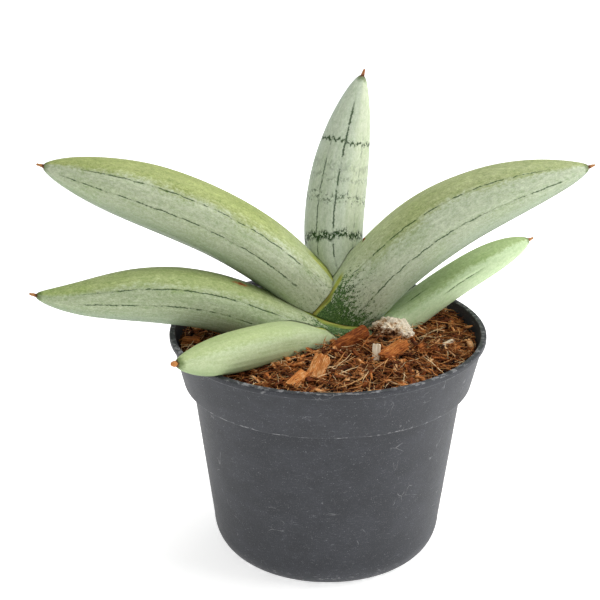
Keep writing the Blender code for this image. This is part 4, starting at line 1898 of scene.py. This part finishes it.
    def crumb(self, seed: int) -> bmesh.types.BMesh:
        """An angular crumb about 2 mm across: the hull of a few random points.

        Args:
            seed: its random seed.

        Returns:
            The crumb, in mm.
        """
        dice = random.Random(seed)
        shape = bmesh.new()
        layer = shape.verts.layers.float_vector.new("grain")
        for _ in range(9):
            way = Vector((dice.gauss(0, 1), dice.gauss(0, 1), dice.gauss(0, 1))).normalized()
            place = Vector((way.x * 1.3, way.y * 0.8, way.z * 0.6)) * dice.uniform(0.7, 1.0)
            shape.verts.new(place)[layer] = place
        hull = bmesh.ops.convex_hull(shape, input=shape.verts)
        inner = [item for item in hull["geom_interior"] if isinstance(item, bmesh.types.BMVert)]
        bmesh.ops.delete(shape, geom=inner, context="VERTS")
        bmesh.ops.recalc_face_normals(shape, faces=shape.faces)
        return shape

    def build(self, leaves: Sequence[bpy.types.Object]) -> list[bpy.types.Object]:
        """Makes the ground and strews it.

        Args:
            leaves: the leaves that stand in it.

        Returns:
            The finished pieces.
        """
        ground = self.ground(leaves)
        reach = self.bore(self.pot.height - self.depth) - 0.4
        chip = Husk("torn_husk_bits", HuskTone.CHIP, 0.28).build()
        crumb = Husk("husk_crumbs", HuskTone.SOIL, 0.4).build()
        fibre = Husk("coir_fibre", HuskTone.FIBRE, 0.2, 0.7).build()
        dice = random.Random(5)
        flakes = []
        for seed in range(26):
            size = (dice.uniform(3.0, 9.0), dice.uniform(1.0, 2.8), dice.uniform(0.5, 1.3))
            flakes.append(Clod(size, 0.35, 0.16, seed + 40, (6, 2, 1), dice.uniform(-0.4, 0.6), 0.7).shape())
        made = [ground]
        crumbs = [self.crumb(seed) for seed in range(18)]
        strewn = (
            (Scatter("soil_crumbs", 0.42, 3, 0.45, 1.5, 0.9, 0.5, 1.6), crumbs, crumb),
            (Scatter("soil_husk_bits", 0.085, 4, 0.5, 1.15, 0.5, 0.2, 2.4), flakes, chip),
        )
        for scatter, shapes, finish in strewn:
            bits = scatter.build(ground, shapes, finish)
            self.clear_wall(bits.data)
            made.append(bits)
        grown = (
            Fibres("soil_fibres_long", 0.16, 6, 6.0, 17.0, 0.34, 0.30, 0.3, 3.4, 2.4, 9.0, 9),
            Fibres("soil_fibres_short", 0.42, 7, 2.0, 6.5, 0.26, 0.6, 0.2, 2.8, 1.3, 4.0, 6),
        )
        for fibres in grown:
            made.append(fibres.build(ground, reach, fibre))
        declare(ground, "husk_soil", "soil")
        for piece in made[1:]:
            piece.data.shade_smooth()
            declare(piece, "husk_soil")
        return made


# Studio


@dataclass(frozen=True)
class Studio:
    """A white floor under plain, soft light, and the camera."""

    floor_radius: float = 9.0
    floor_glow: float = 0.62
    sky_light: float = 0.39  # how strongly the sky lights the plant
    sky_seen: float = 1.0  # how strongly the camera sees it
    camera_place: tuple[float, float, float] = (-0.0105, -0.4707, 0.2818)
    camera_tilt: float = 68.79
    lens: float = 80.34

    def build(self) -> None:
        """Adds the floor, the lights, the world and the camera."""
        self.floor()
        self.light("soft_top", (0.25, 0.25, 1.25), (0.0, 0.0, 0.08), 1.1, 9.3)
        self.light("soft_right", (1.2, -0.15, 0.65), (0.0, 0.0, 0.08), 0.9, 10.3)
        self.light("soft_left", (-0.9, -1.1, 0.9), (0.0, 0.0, 0.12), 1.2, 1.0)
        world = bpy.data.worlds.new("studio_white")
        world.use_nodes = True
        tree, sky = world.node_tree, world.node_tree.nodes["Background"]
        sky.inputs["Color"].default_value = (1.0, 1.0, 1.0, 1.0)
        # The plant is lit by a dim sky, and the sky itself is seen as white as the floor.
        seen = add_node(tree, "ShaderNodeLightPath", out="Is Camera Ray")
        strength = add_node(tree, RANGE, (seen, 0.0, 1.0, self.sky_light, self.sky_seen))
        tree.links.new(strength, sky.inputs["Strength"])
        bpy.context.scene.world = world
        bpy.context.scene.view_settings.view_transform = "Standard"
        self.camera()

    def floor(self) -> None:
        """Adds the floor as a broad round sheet of white card."""
        shape = bmesh.new()
        bmesh.ops.create_circle(shape, cap_ends=True, segments=96, radius=self.floor_radius)
        mesh = plain_mesh("floor", shape)
        made, tree, shader = new_material("white_card")
        fine = add_node(tree, NOISE, {"Scale": 900.0, "Detail": 2.0})
        tone = add_node(tree, RAMP, (fine,), stops=((0.3, "f9f9f8"), (0.7, "fcfcfb")))
        tree.links.new(tone, shader.inputs["Base Color"])
        shader.inputs["Roughness"].default_value = 0.9
        shader.inputs["Specular IOR Level"].default_value = 0.1
        shader.inputs["Emission Color"].default_value = (1.0, 1.0, 1.0, 1.0)
        shader.inputs["Emission Strength"].default_value = self.floor_glow
        floor = new_piece("floor", mesh, made)

    def light(self, name: str, place: tuple, aim: tuple, size: float, watts: float) -> None:
        """Adds one square, soft light.

        Args:
            name: its name.
            place: where it hangs, in metres.
            aim: where it points.
            size: its side in metres.
            watts: its power.
        """
        lamp = bpy.data.lights.new(name, "AREA")
        lamp.size = size
        lamp.energy = watts
        item = bpy.data.objects.new(name, lamp)
        item.location = place
        item.rotation_euler = (Vector(aim) - Vector(place)).to_track_quat("-Z", "Y").to_euler()
        bpy.context.scene.collection.objects.link(item)

    def camera(self) -> None:
        """Adds the camera, level with the horizon's tilt and looking along +Y."""
        lens = bpy.data.cameras.new("camera")
        lens.lens = self.lens
        lens.sensor_width = 36.0
        lens.clip_end = 50.0
        item = bpy.data.objects.new("camera", lens)
        item.location = self.camera_place
        item.rotation_euler = (math.radians(self.camera_tilt), 0.0, 0.0)
        bpy.context.scene.collection.objects.link(item)
        bpy.context.scene.camera = item


# Each palette's low is the underside's cooler tone, darkened as painted shade.
SILVER = Palette(top="9ca55f", side="b3bb9f", low="76846f", margin="98a83f")
SILVER_RIGHT = Palette(top="a1a972", side="b4bda3", low="7c8a75", margin="9aa83c")
SILVER_LOW = Palette(top="a6b274", side="aab494", low="7f8e77", margin="8c9c33")
BANDED = Palette(top="cdd5ba", side="bfc9b4", low="aebcb2", dark="26431a", point="a8683c")
GREEN = Palette(top="9cb075", side="bed1a6", low="bccfa3", dark="3d5f2a", margin="7f9131")
PALE_GREEN = Palette(
    top="a8b77f", side="b2bf95", low="94a678", dark="5d7a3e", margin="9bb05a", point="b9793c"
)

LEAVES = (
    Leaf(
        "leaf_front_left", (2.0, 6.0, 73.0), 228.0, 0.0, (50.0, 15.5, 6.6, 16.0),
        89.2, 7.65, 7.4, 12.0, 0.55, 2.35,
        "green_leaf",
        LeafSkin(
            PALE_GREEN, (Vein(80.0, 0.3, 0.5, 0.35, 0.4, 0.5),),
            base_reach=11.0, base_strength=0.5, margin_turn=24.0, margin_reach=22.0, mottle=0.42,
            seed=6.0,
        ),
        tip_blob=1.4,
    ),
    Leaf(
        "leaf_right_low", (5.0, -1.0, 80.0), 27.0, 0.0, (0.0, 26.0, 21.0, 14.5),
        93.3, 6.6, 8.2, 8.0, 0.5, 3.5,
        "green_leaf",
        LeafSkin(
            GREEN, (Vein(-22.0, 0.30, 0.45), Vein(-75.0, 0.5, 0.7), Vein(60.0, 0.3, 0.8)),
            base_reach=20.0, margin_turn=0.0, margin_reach=26.0, margin_width=15.0, mottle=0.5, seed=5.0,
        ),
    ),
    Leaf(
        "leaf_left_low", (11.5, 7.0, 79.5), 189.0, 0.0, (-3.0, 25.0, 2.5, 19.0),
        127.3, 11.0, 10.2, 11.5, 0.56, 1.55,
        "leaf",
        LeafSkin(
            SILVER_LOW,
            (Vein(58.0, 0.28, 0.86), Vein(92.0, 0.30, 0.90), Vein(-50.0, 0.2, 0.9),
             Vein(-95.0, 0.2, 0.9), Vein(150.0, 0.3, 0.8)),
            base_reach=34.0, base_strength=0.92, margin_turn=28.0, margin_bend=(19.0, -3.0),
            margin_reach=36.0, margin_width=15.0, scar=(10.0, 52.0), seed=4.0,
        ),
    ),
    Leaf(
        "leaf_right_high", (-2.0, 9.0, 84.0), 4.0, 0.0, (43.0, 43.0, 21.0, 18.5),
        123.5, 13.7, 11.2, 10.2, 0.38, 2.1,
        "leaf",
        LeafSkin(
            SILVER_RIGHT,
            (
                Vein(-46.0, 0.20, 0.85), Vein(-94.0, 0.15, 0.93), Vein(-66.0, 0.15, 0.22, 0.5, 0.8, 0.3),
                Vein(45.0, 0.15, 0.9), Vein(90.0, 0.15, 0.9), Vein(-150.0, 0.2, 0.8),
            ),
            base_reach=35.0, base_strength=0.95, margin_turn=47.0, margin_bend=(13.0, -2.6),
            margin_reach=24.5, margin_width=11.0, seed=3.0,
        ),
    ),
    Leaf(
        "leaf_left_high", (5.5, 9.0, 83.0), 181.0, 0.0, (60.5, 36.5, 20.0, 16.0),
        135.3, 12.6, 8.8, 8.3, 0.48, 2.6,
        "leaf",
        LeafSkin(
            SILVER,
            (Vein(54.0, 0.14, 0.88), Vein(90.0, 0.20, 0.94), Vein(-40.0, 0.15, 0.9),
             Vein(-85.0, 0.15, 0.9), Vein(150.0, 0.2, 0.8)),
            base_reach=27.0, base_strength=0.6, base_low=14.0, margin_turn=6.0, margin_reach=34.0,
            margin_width=7.0, seed=2.0,
        ),
    ),
    Leaf(
        "leaf_centre", (11.3, 10.0, 82.7), 145.0, -150.0, (57.0, 65.0, 75.0, 72.5),
        104.0, 11.5, 5.0, 5.0, 0.42, 2.15,
        "banded_leaf",
        LeafSkin(
            BANDED,
            (
                Vein(48.0, 0.15, 0.90, 0.5, 0.9, 0.44), Vein(82.0, 0.15, 0.76, 0.42, 0.8, 0.46),
                Vein(2.0, 0.25, 0.80, 0.4, 0.45, 0.5), Vein(135.0, 0.2, 0.8),
                Vein(-60.0, 0.2, 0.85), Vein(-120.0, 0.2, 0.7),
            ),
            (
                Band(76.0, 1.1, 0.95, 0.47), Band(66.0, 2.5, 0.25, 0.5), Band(61.0, 1.6, 0.35, 0.52),
                Band(53.0, 3.2, 0.75, 0.555), Band(37.5, 2.6, 1.0, 0.465),
            ),
            top_reach=28.0, base_reach=8.0, margin_reach=6.0, seed=1.0, mottle=0.6,
        ),
    ),
)

CHIPS = (
    LooseChip("bark_chip_long", (8.3, -12.5, 88.2), (14.0, 4.4, 4.6), 23.0, 21.0, 10.0, 0.20, 1, 0.36),
    LooseChip("husk_block_front", (-4.0, -36.0, 87.0), (10.0, 5.4, 4.6), 66.0, 32.0, 0.0, 0.06, 2, 0.8),
    LooseChip("husk_chip_front", (-11.4, -43.0, 85.6), (9.0, 4.2, 3.0), 53.0, 12.0, 8.0, 0.15, 3, 0.75),
    LooseChip("husk_chip_side", (23.6, -19.6, 86.6), (12.0, 5.6, 4.6), 43.0, 13.0, -12.0, 0.25, 4, 0.6),
    LooseChip(
        "bark_sliver", (2.6, -22.4, 86.2), (11.0, 1.7, 1.5), -30.0, -4.0, 0.0, 0.5, 8, 0.12,
        bow=1.2, cad=False,
    ),
    LooseChip(
        "husk_chip_left", (-51.4, -6.6, 85.6), (6.4, 2.8, 2.2), -24.0, 8.0, 10.0, 0.3, 9, 0.55, cad=False,
    ),
    LooseChip("dry_scale", (13.6, 11.6, 118.3), (3.0, 1.1, 0.6), 60.0, 58.0, 30.0, 0.6, 10, 0.28, cad=False),
)
PALE_CHIPS = (
    LooseChip(
        "husk_chip_pale", (17.4, -21.6, 87.0), (5.6, 3.4, 2.4), 80.0, 62.0, 0.0, 0.25, 5, 0.8,
        slot="pale_husk",
    ),
    LooseChip(
        "husk_stick_right", (45.0, -8.0, 85.0), (5.0, 1.5, 1.2), 35.0, 8.0, 0.0, 0.10, 6, 0.8,
        slot="pale_husk",
    ),
)


def main() -> None:
    """Builds the leaves, the pot, the soil and the loose pieces on it, then the studio."""
    logging.basicConfig(level=logging.INFO, format="%(name)s %(message)s")
    # The vector noise starts from the clock unless it is given a seed.
    noise.seed_set(NOISE_SEED)
    leaves = LeafFan(LEAVES).build()
    pot = NurseryPot()
    pot.build()
    HuskSoil(pot).build(leaves)
    torn = Husk("torn_husk_chip", HuskTone.CHIP, 0.26).build()
    pale = Husk("pale_husk_chip", HuskTone.PALE, 0.3).build()
    for chip in CHIPS:
        chip.build(torn)
    for chip in PALE_CHIPS:
        chip.build(pale)
    BarkKnob().build()
    Studio().build()


if __name__ == "__main__":
    main()
